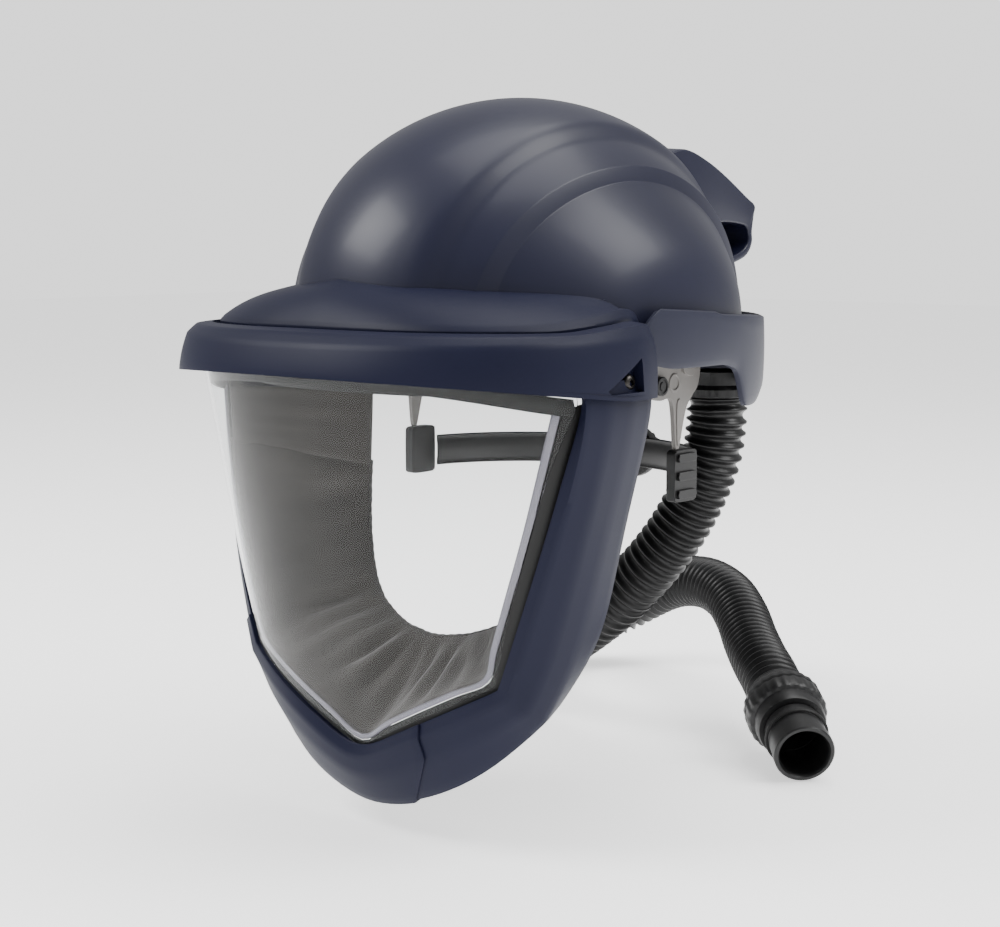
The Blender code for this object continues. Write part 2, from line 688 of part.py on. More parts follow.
# ---- visor --------------------------------------------------------------------------------------
def make_visor_band(mats):
    """The visor's top band: lip, sloping shoulder, upright face and the ledge under it."""
    steps = 34
    lines = {"lip": [], "shoulder": [], "crease": [], "face": [], "bottom": [], "ledge": []}
    for k in range(steps + 1):
        angle = math.radians(blend(-90, 90, k / steps))
        turn = abs(angle) / (math.pi / 2)
        rise = smooth_step(0.80, 1.05, turn)
        bottom_z = blend(-18.5, -31.2, turn ** 1.9)
        for name, width, depth, z in (
                ("lip", 118.3, 95.0, 3.4 - 1.2 * turn + 3.4 * rise),
                ("shoulder", 126, 103, 2.2 - 0.8 * turn + 3.0 * rise),
                ("crease", 129, 109, -3.4 + 1.6 * turn), ("face", 131, 113, -12.0),
                ("bottom", 131.2, 115, bottom_z), ("ledge", 129.4, 104.5, bottom_z + 1.2)):
            x, y = outline(width * MM, depth * MM, -75 * MM, angle)
            lines[name].append(Vector((x, y, z * MM)))
    # the cheeks run on to the rear, past the pivot
    tail = {"lip": (116.8, 120.6, 7.0), "shoulder": (124.5, 121.5, 5.2), "crease": (128, 124.5, -0.8),
            "face": (130, 127, -12), "bottom": (130, 127, -31.2), "ledge": (127.4, 124.6, -30.0)}
    for name, (x_mid, x_end, z) in tail.items():
        mid = Vector((x_mid, -62, z)) * MM
        end = Vector((x_end, -51, z)) * MM
        if name in ("lip", "shoulder", "crease"):
            end.z -= 2.5 * MM
        for point in (mid, end):
            lines[name].append(point)
            lines[name].insert(0, Vector((-point.x, point.y, point.z)))
    rows = [lines[name] for name in ("ledge", "bottom", "face", "crease", "shoulder", "lip")]
    band = skin("visor_top_band", rows, 2.4 * MM, mats["frame"])
    cup = [(-101, -25), (-101, -12), (-66, -5.5), (-64, -29), (-96, -29)]
    wedge = [(-95.5, -24.5), (-68, -9.5), (-66.5, -26.8), (-93, -26.8)]
    for side, sign in (("left", 1), ("right", -1)):
        low, high = sorted((sign * 121.6 * MM, sign * 129.4 * MM))
        lump = extrude_outline("pocket_cup_" + side, [cup], low, high, None, cutters)
        cut(band, lump, "UNION")
        low, high = sorted((sign * POCKET_FLOOR_X, sign * 140 * MM))
        tool = extrude_outline("pocket_" + side, [wedge], low, high, None, cutters)
        cut(band, tool)
        tool = turned("screw_hole_" + side, cylinder_profile(2.6 * MM, 0, 20 * MM),
                      (sign * 118 * MM, SCREW_Y, SCREW_Z), (sign, 0, 0), None, 16, cutters)
        cut(band, tool)
    return band


def cover_rows():
    """The chin cover's outside: from the right cheek, past the chin's middle, to a stepped end."""
    rows = frame_rows()
    columns = len(rows[0])
    first, last = len(LENS_EDGE) - 3, columns - 5
    picked = []
    for r, row in enumerate(rows):
        line = row[first:last + 1]
        line[0] = line[0].lerp(line[1], 0.12 if r < 3 else 0.9)
        line[-1] = line[-1].lerp(line[-2], 0.10)
        picked.append(line)
    return picked


def make_visor_frame(mats):
    """The frame's two arms and its chin, cut back where the chin cover lies in it."""
    frame = skin("visor_frame", refined(frame_rows(), 2), 4.8 * MM, mats["frame"])
    above = inset_rows(extended(refined(cover_rows(), 2), 3 * GAP), lambda row, column: -0.8 * MM)
    seat = skin("cover_seat", above, 0.8 * MM + COVER_WALL + 4 * GAP, None, collection=cutters)
    return cut(frame, seat)


def make_chin_cover(mats):
    """The cover over the chin that clamps the lens: it runs from the right cheek past the middle."""
    return skin("chin_cover", refined(cover_rows(), 2), COVER_WALL, mats["frame"])


def make_lens(mats):
    across, down = 26, 12
    rows = []
    for r in range(down + 1):
        row = []
        for c in range(across + 1):
            share = blend(-1, 1, c / across)
            low = lens_bottom(share * 83 * MM)
            z = blend(low, LENS_TOP_Z, r / down)
            x = share * lens_half_width(z) if z > -169.5 * MM else share * 83 * MM
            row.append(Vector((x, lens_y(x, z), z)))
        rows.append(row)
    return skin("lens", rows, LENS_WALL, mats["lens"])


def seal_lines():
    """Front hem line behind the lens edge, two lines along the skirt and the face opening."""
    hem = lens_edge_points(-5.0 * MM, 5.2 * MM)
    oval = millimetres(FACE_OVAL)
    near = [h.lerp(o, 0.33) + Vector((0, 3 * MM, 0)) for h, o in zip(hem, oval)]
    far = [h.lerp(o, 0.70) + Vector((0, 3 * MM, 0)) for h, o in zip(hem, oval)]
    return hem, near, far, oval


def make_face_seal(mats):
    """The seal round the face, which lifts with the visor, and a fixed gusset above each cheek."""
    wall = 1.6 * MM
    lines = seal_lines()
    rows = refined([mirrored(line[1:]) for line in lines], 2)
    skin("face_seal", rows, wall, mats["fabric"])
    for side, sign in (("left", 1), ("right", -1)):
        rows = []
        for line, tuck in zip(lines, (-0.8, -1.8, -1.6, 0.0)):
            top, low = (p - Vector((tuck * MM, 0, 0)) for p in line[:2])
            low = low + (top - low).normalized() * 2.4 * MM
            ends = [Vector((sign * p.x, p.y, p.z)) for p in (top, top.lerp(low, 0.5), low)]
            rows.append(ends if sign > 0 else list(reversed(ends)))
        rows[0] = [rows[0][k].lerp(rows[1][k], 0.2) for k in range(3)]
        skin("cheek_gusset_" + side, rows, wall, mats["fabric"])


def make_lens_gasket(mats):
    """The soft strip between the lens's edge and the frame's lip."""
    outer = mirrored(lens_edge_points(-0.4 * MM, 2.6 * MM))
    inner = mirrored(lens_edge_points(-5.6 * MM, 2.6 * MM))
    return skin("lens_gasket", [inner, outer], 1.4 * MM, mats["rubber"])


def make_pivots(mats):
    for side, sign in (("left", 1), ("right", -1)):
        low, high = sorted((sign * 104.5 * MM, sign * BLOCK_OUTER_X))
        block = box("pivot_block_" + side, (low, -80 * MM, -32 * MM), (high, -47.5 * MM, -7 * MM),
                    mats["black"], 2 * MM)
        bore = turned("pivot_bore_" + side, cylinder_profile(PIVOT_RADIUS + GAP, 0, 20 * MM),
                      (sign * 103 * MM, PIVOT_Y, PIVOT_Z), (sign, 0, 0), None, 24, cutters)
        cut(block, bore)
        turned("pivot_bolt_" + side,
               [(0, 0), (7 * MM, 0), (7 * MM, 3 * MM), (PIVOT_RADIUS, 3 * MM),
                (PIVOT_RADIUS, 19.6 * MM), (0, 19.6 * MM)],
               (sign * 101.2 * MM, PIVOT_Y, PIVOT_Z), (sign, 0, 0), mats["steel"], 24)
        turned("friction_washer_" + side,
               tube_profile(PIVOT_RADIUS + GAP, 9 * MM, 0, 1.2 * MM),
               (sign * (BLOCK_OUTER_X + GAP), PIVOT_Y, PIVOT_Z), (sign, 0, 0), mats["brass"], 24)
        turned("pivot_bush_" + side,
               tube_profile(PIVOT_RADIUS + GAP, 8.5 * MM, 0, 3.4 * MM),
               (sign * (BLOCK_OUTER_X + 1.2 * MM + 2 * GAP), PIVOT_Y, PIVOT_Z), (sign, 0, 0),
               mats["black"], 24)
        turned("visor_screw_" + side,
               [(0, 0), (2.2 * MM, 0), (2.2 * MM, 5.7 * MM), (4.1 * MM, 5.7 * MM),
                (4.1 * MM, 6.8 * MM), (3.1 * MM, 8.2 * MM), (1.6 * MM, 8.2 * MM),
                (1.6 * MM, 6.6 * MM), (0, 6.6 * MM)],
               (sign * 118.6 * MM, SCREW_Y, SCREW_Z), (sign, 0, 0), mats["steel"], 20)


# ---- hose and connector -------------------------------------------------------------------------
def make_hose(mats):
    route = smooth_route([Vector(p) * MM for p in HOSE_ROUTE], 13 * MM)
    curve = bpy.data.curves.new("breathing_hose", "CURVE")
    curve.dimensions = "3D"
    curve.bevel_depth = HOSE_RADIUS
    curve.bevel_resolution = 3
    curve.use_fill_caps = True
    spline = curve.splines.new("POLY")
    spline.points.add(len(route) - 1)
    for point, place in zip(spline.points, route):
        point.co = (*place, 1)
    obj = bpy.data.objects.new("breathing_hose", curve)
    curve.materials.append(mats["rubber"])
    parts.objects.link(obj)
    return obj


def make_connector(mats):
    axis = (CONNECTOR_END - CONNECTOR_START).normalized()
    reach = (CONNECTOR_END - CONNECTOR_START).length
    collar_length = 35 * MM
    collar = [(14.0 * MM, 1.2 * MM), (20.5 * MM, 1.2 * MM), (COLLAR_RADIUS, 4 * MM),
              (COLLAR_RADIUS, 25 * MM), (20.5 * MM, collar_length), (14.0 * MM, collar_length)]
    turned("hose_collar", collar, CONNECTOR_START, axis, mats["black"], 36)
    start = CONNECTOR_START + axis * (collar_length + GAP)
    length = reach - collar_length - GAP
    spigot = [(14.0 * MM, 0), (16.8 * MM, 0), (16.8 * MM, length - 7 * MM),
              (SPIGOT_RADIUS, length - 6 * MM), (SPIGOT_RADIUS, length), (14.0 * MM, length)]
    turned("hose_spigot", spigot, start, axis, mats["black"], 36)
    seal_at = start + axis * (8 * MM)
    turned("spigot_seal", tube_profile(16.8 * MM + GAP, 18.4 * MM, 0, 2.6 * MM), seal_at, axis,
           mats["rubber"], 36)


# ---- joints -------------------------------------------------------------------------------------
VISOR_PIECES = ["visor_top_band", "visor_frame", "chin_cover", "lens", "lens_gasket", "face_seal",
                "visor_screw_left", "visor_screw_right", "pivot_bush_left", "pivot_bush_right"]
NAPE_PIECES = ["nape_strap", "ratchet_housing"]


def hang_on(name, place, pieces):
    """An empty on a joint's axis, with the pieces that move about it as its children."""
    axis = bpy.data.objects.new(name, None)
    axis.location = place
    axis.empty_display_size = 20 * MM
    parts.objects.link(axis)
    for piece in pieces:
        obj = bpy.data.objects[piece]
        obj.parent = axis
        obj.matrix_parent_inverse = Matrix.Translation(place).inverted()


def clear_scene():
    for obj in list(bpy.data.objects):
        bpy.data.objects.remove(obj)
    bpy.context.scene.collection.children.link(parts)
    bpy.context.scene.collection.children.link(cutters)


def main():
    clear_scene()
    mats = make_materials()
    make_helmet_shell(mats)
    dome = shell_body("shell_clearance", 0.8 * MM)
    make_crown_tail(mats, dome)
    make_brim(mats, dome)
    make_rear_band(mats)
    make_brow_seal(mats)
    make_air_duct(mats)
    make_hose_cuff(mats)
    make_headband(mats)
    make_sweatband(mats)
    make_crown_straps(mats)
    make_brackets(mats)
    make_nape(mats)
    make_visor_band(mats)
    make_visor_frame(mats)
    make_chin_cover(mats)
    make_lens(mats)
    make_lens_gasket(mats)
    make_face_seal(mats)
    make_pivots(mats)
    make_hose(mats)
    make_connector(mats)
    hang_on("visor_axis", Vector((0, PIVOT_Y, PIVOT_Z)), VISOR_PIECES)
    hang_on("nape_axis", KNOB_CENTRE, NAPE_PIECES)


main()
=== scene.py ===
"""Looks of the powered air respirator: helmet, lift-up visor, fabric face seal, harness and hose.

Metres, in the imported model's frame: the wearer faces -Y, the wearer's left is +X, +Z is up.
"""
import math

import bmesh
import bpy
from mathutils import Matrix, Vector, noise


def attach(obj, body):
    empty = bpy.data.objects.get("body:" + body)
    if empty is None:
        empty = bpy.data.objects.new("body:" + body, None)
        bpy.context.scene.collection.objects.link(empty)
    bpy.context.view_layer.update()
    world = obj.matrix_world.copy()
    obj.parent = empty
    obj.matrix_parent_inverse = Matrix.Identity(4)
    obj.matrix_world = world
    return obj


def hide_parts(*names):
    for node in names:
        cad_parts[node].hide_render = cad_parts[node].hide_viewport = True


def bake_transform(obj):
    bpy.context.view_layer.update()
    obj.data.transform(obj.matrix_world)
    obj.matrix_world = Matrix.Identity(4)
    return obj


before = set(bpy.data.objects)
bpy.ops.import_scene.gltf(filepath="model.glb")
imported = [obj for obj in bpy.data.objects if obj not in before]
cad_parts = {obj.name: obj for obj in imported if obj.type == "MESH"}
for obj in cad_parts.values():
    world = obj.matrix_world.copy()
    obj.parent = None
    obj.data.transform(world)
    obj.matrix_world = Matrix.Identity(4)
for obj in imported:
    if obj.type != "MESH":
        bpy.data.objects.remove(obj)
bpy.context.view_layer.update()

MM = 0.001

# ---- driving sizes, the same as the CAD's
SHELL = Vector((112, 143.5, 120)) * MM           # the helmet dome's half-axes
SHELL_WALL = 2.4 * MM
SIDE_CENTRE_Y = -2 * MM                          # the side dome's ellipse, seen from the side
SIDE_HALF_LENGTH = 108 * MM
SIDE_HEIGHT = 79 * MM
OUTLINE_POWER = 2.4
LENS_HALF_WIDTH = 128 * MM
LENS_DEPTH = 105.5 * MM
LENS_CENTRE_Y = -72 * MM
LENS_LEAN = 0.225
LENS_TOP_Z = -12 * MM
LENS_WALL = 1.6 * MM
LENS_SIDE_TOP = Vector((122, -33)) * MM          # (x, z) where the lens's straight side starts
LENS_SIDE_LOW = Vector((83, -169.5)) * MM        # and ends
LENS_TIP_Z = -211 * MM                           # where its lower edges meet
VISOR_CENTRE_Y = -75 * MM                        # middle of the oval that the brim and band follow
HOSE_RADIUS = 17.5 * MM
TABLE_Z = -258 * MM
CONNECTOR_START = Vector((78, 141, -224)) * MM
CONNECTOR_END = Vector((122.5, 98, -240.9)) * MM
RIB_PITCH = 6.4 * MM
RIB_DEPTH = 2.7 * MM
COLLAR_LENGTH = 35                               # millimetres
SPIGOT_GAP = 0.3                                 # millimetres, from the collar's end to the spigot
SCREW_Y, SCREW_Z = -72, -22.5                    # millimetres, the visor's fixing screws
CAMERA_PLACE = (0.6862, -0.8236, 0.0537)
CAMERA_AIM = (-0.645, 0.755, -0.122)
FLOOR_HALF_SIZE = 6.0
WORLD_LIGHT = 0.6
WORLD_SEEN = 1.58                                # as bright as the floor's far edge looks
FLOOR_GLOW = 0.95

# The hose's centre line, as in part.py.
HOSE_ROUTE = [
    (50, 113, -46), (50, 113, -60), (47, 113, -80), (38.5, 112, -102), (25, 110, -126),
    (6, 108, -150), (-20, 108, -175), (-54, 113, -199), (-95, 128, -221), (-135, 157, -236),
    (-161, 199, -239.4), (-161, 245, -234), (-137, 277, -217), (-100, 281, -197), (-65, 270, -190),
    (-32, 250, -192), (-5, 226, -199), (19, 200, -207), (41, 177, -213), (58.5, 159.8, -217),
    (78, 141, -224),
]


def new_object(name, data):
    obj = bpy.data.objects.new(name, data)
    bpy.context.scene.collection.objects.link(obj)
    return obj


# ---- camera, light and floor
def make_camera():
    data = bpy.data.cameras.new("camera")
    data.lens = 70.68
    data.sensor_width = 36
    camera = new_object("camera", data)
    camera.location = CAMERA_PLACE
    forward = Vector(CAMERA_AIM).normalized()
    right = forward.cross(Vector((0, 0, 1))).normalized()
    up = right.cross(forward)
    camera.rotation_euler = Matrix((right, up, -forward)).transposed().to_euler()
    bpy.context.scene.camera = camera


def add_node(tree, kind, **values):
    """A new shader node with some input values; an underscore in a name stands for a space."""
    node = tree.nodes.new("ShaderNode" + kind)
    for name, value in values.items():
        node.inputs[name.replace("_", " ")].default_value = value
    return node


def area_light(name, place, target, size, power):
    data = bpy.data.lights.new(name, "AREA")
    data.shape = "RECTANGLE"
    data.size, data.size_y = size
    data.energy = power
    light = new_object(name, data)
    light.location = place
    aim = Vector(target) - Vector(place)
    light.rotation_euler = aim.to_track_quat("-Z", "Y").to_euler()


def make_studio():
    area_light("key", (-0.9, -1.1, 1.3), (0, 0, 0), (1.1, 0.8), 38)
    area_light("top", (0.1, 0.3, 1.6), (0, 0, 0), (1.2, 1.2), 20)
    area_light("side", (1.1, 0.6, 1.15), (0, 0, 0), (0.9, 0.9), 25)
    world = bpy.data.worlds.new("studio")
    world.use_nodes = True
    tree = world.node_tree
    backdrop = tree.nodes["Background"]
    backdrop.inputs["Color"].default_value = (1.0, 1.0, 1.0, 1.0)
    path = add_node(tree, "LightPath")
    strength = add_node(tree, "MapRange", To_Min=WORLD_LIGHT, To_Max=WORLD_SEEN)
    tree.links.new(path.outputs["Is Camera Ray"], strength.inputs["Value"])
    tree.links.new(strength.outputs["Result"], backdrop.inputs["Strength"])
    bpy.context.scene.world = world
    mesh = bpy.data.meshes.new("floor")
    bm = bmesh.new()
    bmesh.ops.create_grid(bm, x_segments=1, y_segments=1, size=FLOOR_HALF_SIZE)
    bm.to_mesh(mesh)
    bm.free()
    floor = new_object("floor", mesh)
    floor.location.z = TABLE_Z
    paper = surface_material("floor_paper", (0.95, 0.95, 0.95), (0.94, 0.94, 0.94), 0.9)
    shader = paper.node_tree.nodes["Principled BSDF"]
    shader.inputs["Emission Color"].default_value = (1, 1, 1, 1)
    shader.inputs["Emission Strength"].default_value = FLOOR_GLOW
    mesh.materials.append(paper)


# ---- materials
mats = {}                                        # finish -> material, filled by make_materials
WAVES_PER_SCALE = 0.314                          # a wave texture of this scale has 1 m long waves


def surface_material(name, colour, second, roughness, metallic=0.0, grain=0.0, grain_scale=900.0,
                     patch_scale=14.0, coat=0.0, sheen=0.0, rough_spread=0.06, specular=0.5):
    """Two close colours in soft patches, a fine bump, and a roughness that varies a little."""
    mat = bpy.data.materials.new(name)
    mat.use_nodes = True
    tree = mat.node_tree
    shader = tree.nodes["Principled BSDF"]
    for socket, value in (("Metallic", metallic), ("Specular IOR Level", specular),
                          ("Coat Weight", coat), ("Coat Roughness", 0.15), ("Sheen Weight", sheen)):
        shader.inputs[socket].default_value = value
    place = add_node(tree, "TexCoord")
    patches = add_node(tree, "TexNoise", Scale=patch_scale, Detail=4)
    tree.links.new(place.outputs["Object"], patches.inputs["Vector"])
    ramp = add_node(tree, "ValToRGB")
    ramp.color_ramp.elements[0].position = 0.35
    ramp.color_ramp.elements[0].color = (*colour, 1)
    ramp.color_ramp.elements[1].position = 0.68
    ramp.color_ramp.elements[1].color = (*second, 1)
    tree.links.new(patches.outputs["Fac"], ramp.inputs["Fac"])
    tree.links.new(ramp.outputs["Color"], shader.inputs["Base Color"])
    spread = add_node(tree, "MapRange", To_Min=max(roughness - rough_spread, 0.02),
                      To_Max=min(roughness + rough_spread, 1.0))
    tree.links.new(patches.outputs["Fac"], spread.inputs["Value"])
    tree.links.new(spread.outputs["Result"], shader.inputs["Roughness"])
    if grain:
        fine = add_node(tree, "TexNoise", Scale=grain_scale, Detail=2)
        tree.links.new(place.outputs["Object"], fine.inputs["Vector"])
        bump = add_node(tree, "Bump", Strength=grain, Distance=0.4 * MM)
        tree.links.new(fine.outputs["Fac"], bump.inputs["Height"])
        tree.links.new(bump.outputs["Normal"], shader.inputs["Normal"])
    return mat


def woven_material(name, colour, second, thread=0.0009, roughness=0.85, sheen=0.3, relief=0.1):
    """A plain weave: two crossed sets of fine bands, as colour and as bump."""
    mat = surface_material(name, colour, second, roughness, sheen=sheen, patch_scale=30.0)
    tree = mat.node_tree
    shader = tree.nodes["Principled BSDF"]
    place = add_node(tree, "TexCoord")
    heights = []
    for direction in ("X", "Z"):
        bands = add_node(tree, "TexWave", Scale=WAVES_PER_SCALE / thread, Distortion=0.6)
        bands.bands_direction = direction
        tree.links.new(place.outputs["Object"], bands.inputs["Vector"])
        heights.append(bands)
    crossed = add_node(tree, "Math")
    crossed.operation = "MULTIPLY"
    tree.links.new(heights[0].outputs["Fac"], crossed.inputs[0])
    tree.links.new(heights[1].outputs["Fac"], crossed.inputs[1])
    bump = add_node(tree, "Bump", Strength=relief, Distance=0.1 * MM)
    tree.links.new(crossed.outputs["Value"], bump.inputs["Height"])
    tree.links.new(bump.outputs["Normal"], shader.inputs["Normal"])
    return mat


def clear_material():
    """Clear, polished polycarbonate with a very faint tint in patches."""
    mat = surface_material("clear_lens", (0.97, 0.98, 0.98), (0.99, 1.0, 1.0), 0.03, rough_spread=0.01)
    shader = mat.node_tree.nodes["Principled BSDF"]
    mat.node_tree.links.remove(shader.inputs["Roughness"].links[0])
    shader.inputs["Roughness"].default_value = 0.0
    shader.inputs["Transmission Weight"].default_value = 1.0
    shader.inputs["IOR"].default_value = 1.15
    return mat


# ---- building helpers
def add_piece(name, mesh, finish, body, nodes=()):
    """A piece on a body, with its finish's material and slot, in place of some CAD nodes."""
    obj = new_object(name, mesh)
    mesh.materials.clear()
    mesh.materials.append(mats[finish])
    if body:
        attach(obj, body)
    if nodes:
        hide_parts(*nodes)
    return obj


def mesh_from(name, bm, smooth_angle=35):
    bmesh.ops.remove_doubles(bm, verts=bm.verts, dist=0.01 * MM)
    bmesh.ops.recalc_face_normals(bm, faces=bm.faces)
    mesh = bpy.data.meshes.new(name)
    bm.to_mesh(mesh)
    bm.free()
    mesh.shade_smooth()
    mesh.set_sharp_from_angle(angle=math.radians(smooth_angle))
    return mesh


def grid_mesh(name, rows, wrap=False, creases=(), column_creases=()):
    """An open surface through rows of points; the rows run so that its normals face outwards."""
    bm = bmesh.new()
    crease = bm.edges.layers.float.new("crease_edge")
    made = [[bm.verts.new(point) for point in row] for row in rows]
    for lower, upper in zip(made, made[1:]):
        count = len(lower)
        for i in range(count if wrap else count - 1):
            j = (i + 1) % count
            bm.faces.new((lower[i], lower[j], upper[j], upper[i]))
    for index, strength in creases:
        for a, b in zip(made[index], made[index][1:]):
            edge = bm.edges.get((a, b))
            edge[crease] = strength
    for index, strength in column_creases:
        for lower, upper in zip(made, made[1:]):
            edge = bm.edges.get((lower[index], upper[index]))
            edge[crease] = strength
    bmesh.ops.remove_doubles(bm, verts=bm.verts, dist=0.01 * MM)
    mesh = bpy.data.meshes.new(name)
    bm.to_mesh(mesh)
    bm.free()
    mesh.shade_smooth()
    return mesh


def give_wall(obj, thickness, even=False):
    wall = obj.modifiers.new("wall", "SOLIDIFY")
    wall.thickness = thickness
    wall.offset = -1.0
    wall.use_even_offset = even


def panel(name, rows, wall, finish, body, nodes=(), creases=(), column_creases=(), levels=2,
          edge=0.5 * MM, wrap=False):
    """A moulded panel: a cage with creases, subdivided, given a wall and softened edges."""
    mesh = grid_mesh(name, rows, wrap, creases, column_creases)
    obj = add_piece(name, mesh, finish, body, nodes)
    if levels:
        smooth = obj.modifiers.new("smooth", "SUBSURF")
        smooth.levels = levels
        smooth.render_levels = levels
        smooth.boundary_smooth = "PRESERVE_CORNERS"
    give_wall(obj, wall, even=True)
    if edge:
        soften(obj, edge)
    return obj


def soften(obj, width, segments=2, angle=40):
    bevel = obj.modifiers.new("soft_edges", "BEVEL")
    bevel.width = width
    bevel.segments = segments
    bevel.limit_method = "ANGLE"
    bevel.angle_limit = math.radians(angle)
    bevel.harden_normals = False
    return obj


def pointed(mesh, start, direction):
    """Moves a mesh made about Z so that it stands at start and points along direction."""
    turn = Vector((0, 0, 1)).rotation_difference(Vector(direction)).to_matrix().to_4x4()
    mesh.transform(Matrix.Translation(start) @ turn)
    return mesh


def turned_mesh(name, profile, sides=48, ripple=None):
    """Rings about Z through (radius, height) points in millimetres; ripple may change a radius."""
    bm = bmesh.new()
    rings = []
    for radius, height in ((r * MM, h * MM) for r, h in profile):
        if radius <= 0:
            rings.append([bm.verts.new((0, 0, height))])
            continue
        ring = []
        for i in range(sides):
            angle = 2 * math.pi * i / sides
            r = ripple(angle, radius) if ripple else radius
            ring.append(bm.verts.new((r * math.cos(angle), r * math.sin(angle), height)))
        rings.append(ring)
    for first, second in zip(rings, rings[1:] + rings[:1]):
        if len(first) == 1 and len(second) == 1:
            continue
        for i in range(sides):
            j = (i + 1) % sides
            if len(first) == 1:
                bm.faces.new((first[0], second[j], second[i]))
            elif len(second) == 1:
                bm.faces.new((first[i], first[j], second[0]))
            else:
                bm.faces.new((first[i], first[j], second[j], second[i]))
    return mesh_from(name, bm)


def turned(name, profile, start, direction, finish, body, nodes=(), sides=48, ripple=None):
    mesh = pointed(turned_mesh(name, profile, sides, ripple), start, direction)
    return add_piece(name, mesh, finish, body, nodes)


def catmull(a, b, c, d, t):
    return 0.5 * (2 * b + (c - a) * t + (2 * a - 5 * b + 4 * c - d) * t * t
                  + (3 * b - a - 3 * c + d) * t ** 3)


def resampled(line, count=None, spacing=None):
    """Points a steady distance apart along a line, and the line's length."""
    lengths = [0.0]
    for p, q in zip(line, line[1:]):
        lengths.append(lengths[-1] + (q - p).length)
    count = count or max(2, round(lengths[-1] / spacing))
    result = []
    k = 0
    for i in range(count + 1):
        goal = lengths[-1] * i / count
        while k < len(line) - 2 and lengths[k + 1] < goal:
            k += 1
        share = (goal - lengths[k]) / max(lengths[k + 1] - lengths[k], 1e-9)
        result.append(line[k].lerp(line[k + 1], min(max(share, 0.0), 1.0)))
    return result, lengths[-1]


def refined(row, per_step):
    """More points along one line, on a smooth curve through the given ones."""
    padded = [row[0] * 2 - row[1]] + row + [row[-1] * 2 - row[-2]]
    line = []
    for a, b, c, d in zip(padded, padded[1:], padded[2:], padded[3:]):
        line += [catmull(a, b, c, d, i / per_step) for i in range(per_step)]
    return line + [row[-1]]


def closed_line(points, per_step):
    """A smooth closed line in (y, z) through the given corners, in millimetres."""
    count = len(points)
    line = []
    for k in range(count):
        a, b, c, d = (Vector(points[(k + j - 1) % count]) * MM for j in range(4))
        line += [catmull(a, b, c, d, i / per_step) for i in range(per_step)]
    return line


def plate_mesh(name, points, low, high, sign=1, per_step=4):
    """A flat moulding with a smooth outline in (y, z), from x = low to x = high, in millimetres."""
    bm = bmesh.new()
    base = [bm.verts.new((sign * low * MM, y, z)) for y, z in closed_line(points, per_step)]
    made = bmesh.ops.extrude_face_region(bm, geom=[bm.faces.new(base)])
    raised = [v for v in made["geom"] if isinstance(v, bmesh.types.BMVert)]
    bmesh.ops.translate(bm, vec=(sign * (high - low) * MM, 0, 0), verts=raised)
    return mesh_from(name, bm)


def plate(name, points, low, high, finish, body, nodes, sign):
    obj = add_piece(name, plate_mesh(name, points, low, high, sign), finish, body, nodes)
    return soften(obj, 0.6 * MM, 3)


def rounded_rectangle(low, high, corner):
    """Corners in (y, z) of a rectangle with cut corners, for a smooth closed line."""
    (y0, z0), (y1, z1) = low, high
    c = corner
    near = 0.35 * c
    return [(y0, z0 + c), (y0, z1 - c), (y0 + near, z1 - near), (y0 + c, z1), (y1 - c, z1),
            (y1 - near, z1 - near), (y1, z1 - c), (y1, z0 + c), (y1 - near, z0 + near),
            (y1 - c, z0), (y0 + c, z0), (y0 + near, z0 + near)]


def carve(obj, shapes):
    """Adds and cuts solids, given as (operation, mesh), and keeps the result as the piece's mesh."""
    tools = []
    for operation, mesh in shapes:
        tool = new_object("tool", mesh)
        change = obj.modifiers.new(operation, "BOOLEAN")
        change.operation = operation
        change.solver = "MANIFOLD"
        change.object = tool
        tools.append(tool)
    depsgraph = bpy.context.evaluated_depsgraph_get()
    result = bpy.data.meshes.new_from_object(obj.evaluated_get(depsgraph))
    obj.modifiers.clear()
    obj.data = result
    result.set_sharp_from_angle(angle=math.radians(35))
    for tool in tools:
        bpy.data.objects.remove(tool)


def joined(obj, *meshes):
    """Adds more shapes to a piece's own mesh."""
    bm = bmesh.new()
    bm.from_mesh(obj.data)
    for mesh in meshes:
        bm.from_mesh(mesh)
    bm.to_mesh(obj.data)
    bm.free()
    return obj


def grid_normal(rows, r, c):
    along = rows[r][min(c + 1, len(rows[r]) - 1)] - rows[r][max(c - 1, 0)]
    across = rows[min(r + 1, len(rows) - 1)][c] - rows[max(r - 1, 0)][c]
    return along.cross(across).normalized()


def inset_rows(rows, amount):
    """A grid of points moved to its inner side by amount, along its own normals."""
    return [[point - grid_normal(rows, r, c) * amount for c, point in enumerate(row)]
            for r, row in enumerate(rows)]


def mirrored(points):
    """Station points on the wearer's left, then the same on the right, the middle one once."""
    right = [Vector((-p[0], p[1], p[2])) for p in reversed(points[:-1])]
    return [Vector(p) for p in points] + right


def blend(low, high, share):
    return low + (high - low) * share


def squared(value, power):
    """A cosine or sine pushed outwards, so that a circle becomes a rounded square."""
    return math.copysign(abs(value) ** power, value)


def smooth_step(low, high, value):
    t = min(max((value - low) / (high - low), 0.0), 1.0)
    return t * t * (3 - 2 * t)


def millimetres(points):
    return [Vector(p) * MM for p in points]


# ---- hose and connector
def tube_frames(route):
    """A point, a side and an up vector at each point of a route, turning as little as possible."""
    frames = []
    side = None
    for k, point in enumerate(route):
        ahead = (route[min(k + 1, len(route) - 1)] - route[max(k - 1, 0)]).normalized()
        if side is None:
            side = ahead.orthogonal()
        side = (side - ahead * side.dot(ahead)).normalized()
        frames.append((point, side, ahead.cross(side)))
    return frames


def circle(point, side, up, radius, sides):
    return [point + (side * math.cos(a) + up * math.sin(a)) * radius
            for a in (2 * math.pi * i / sides for i in range(sides))]


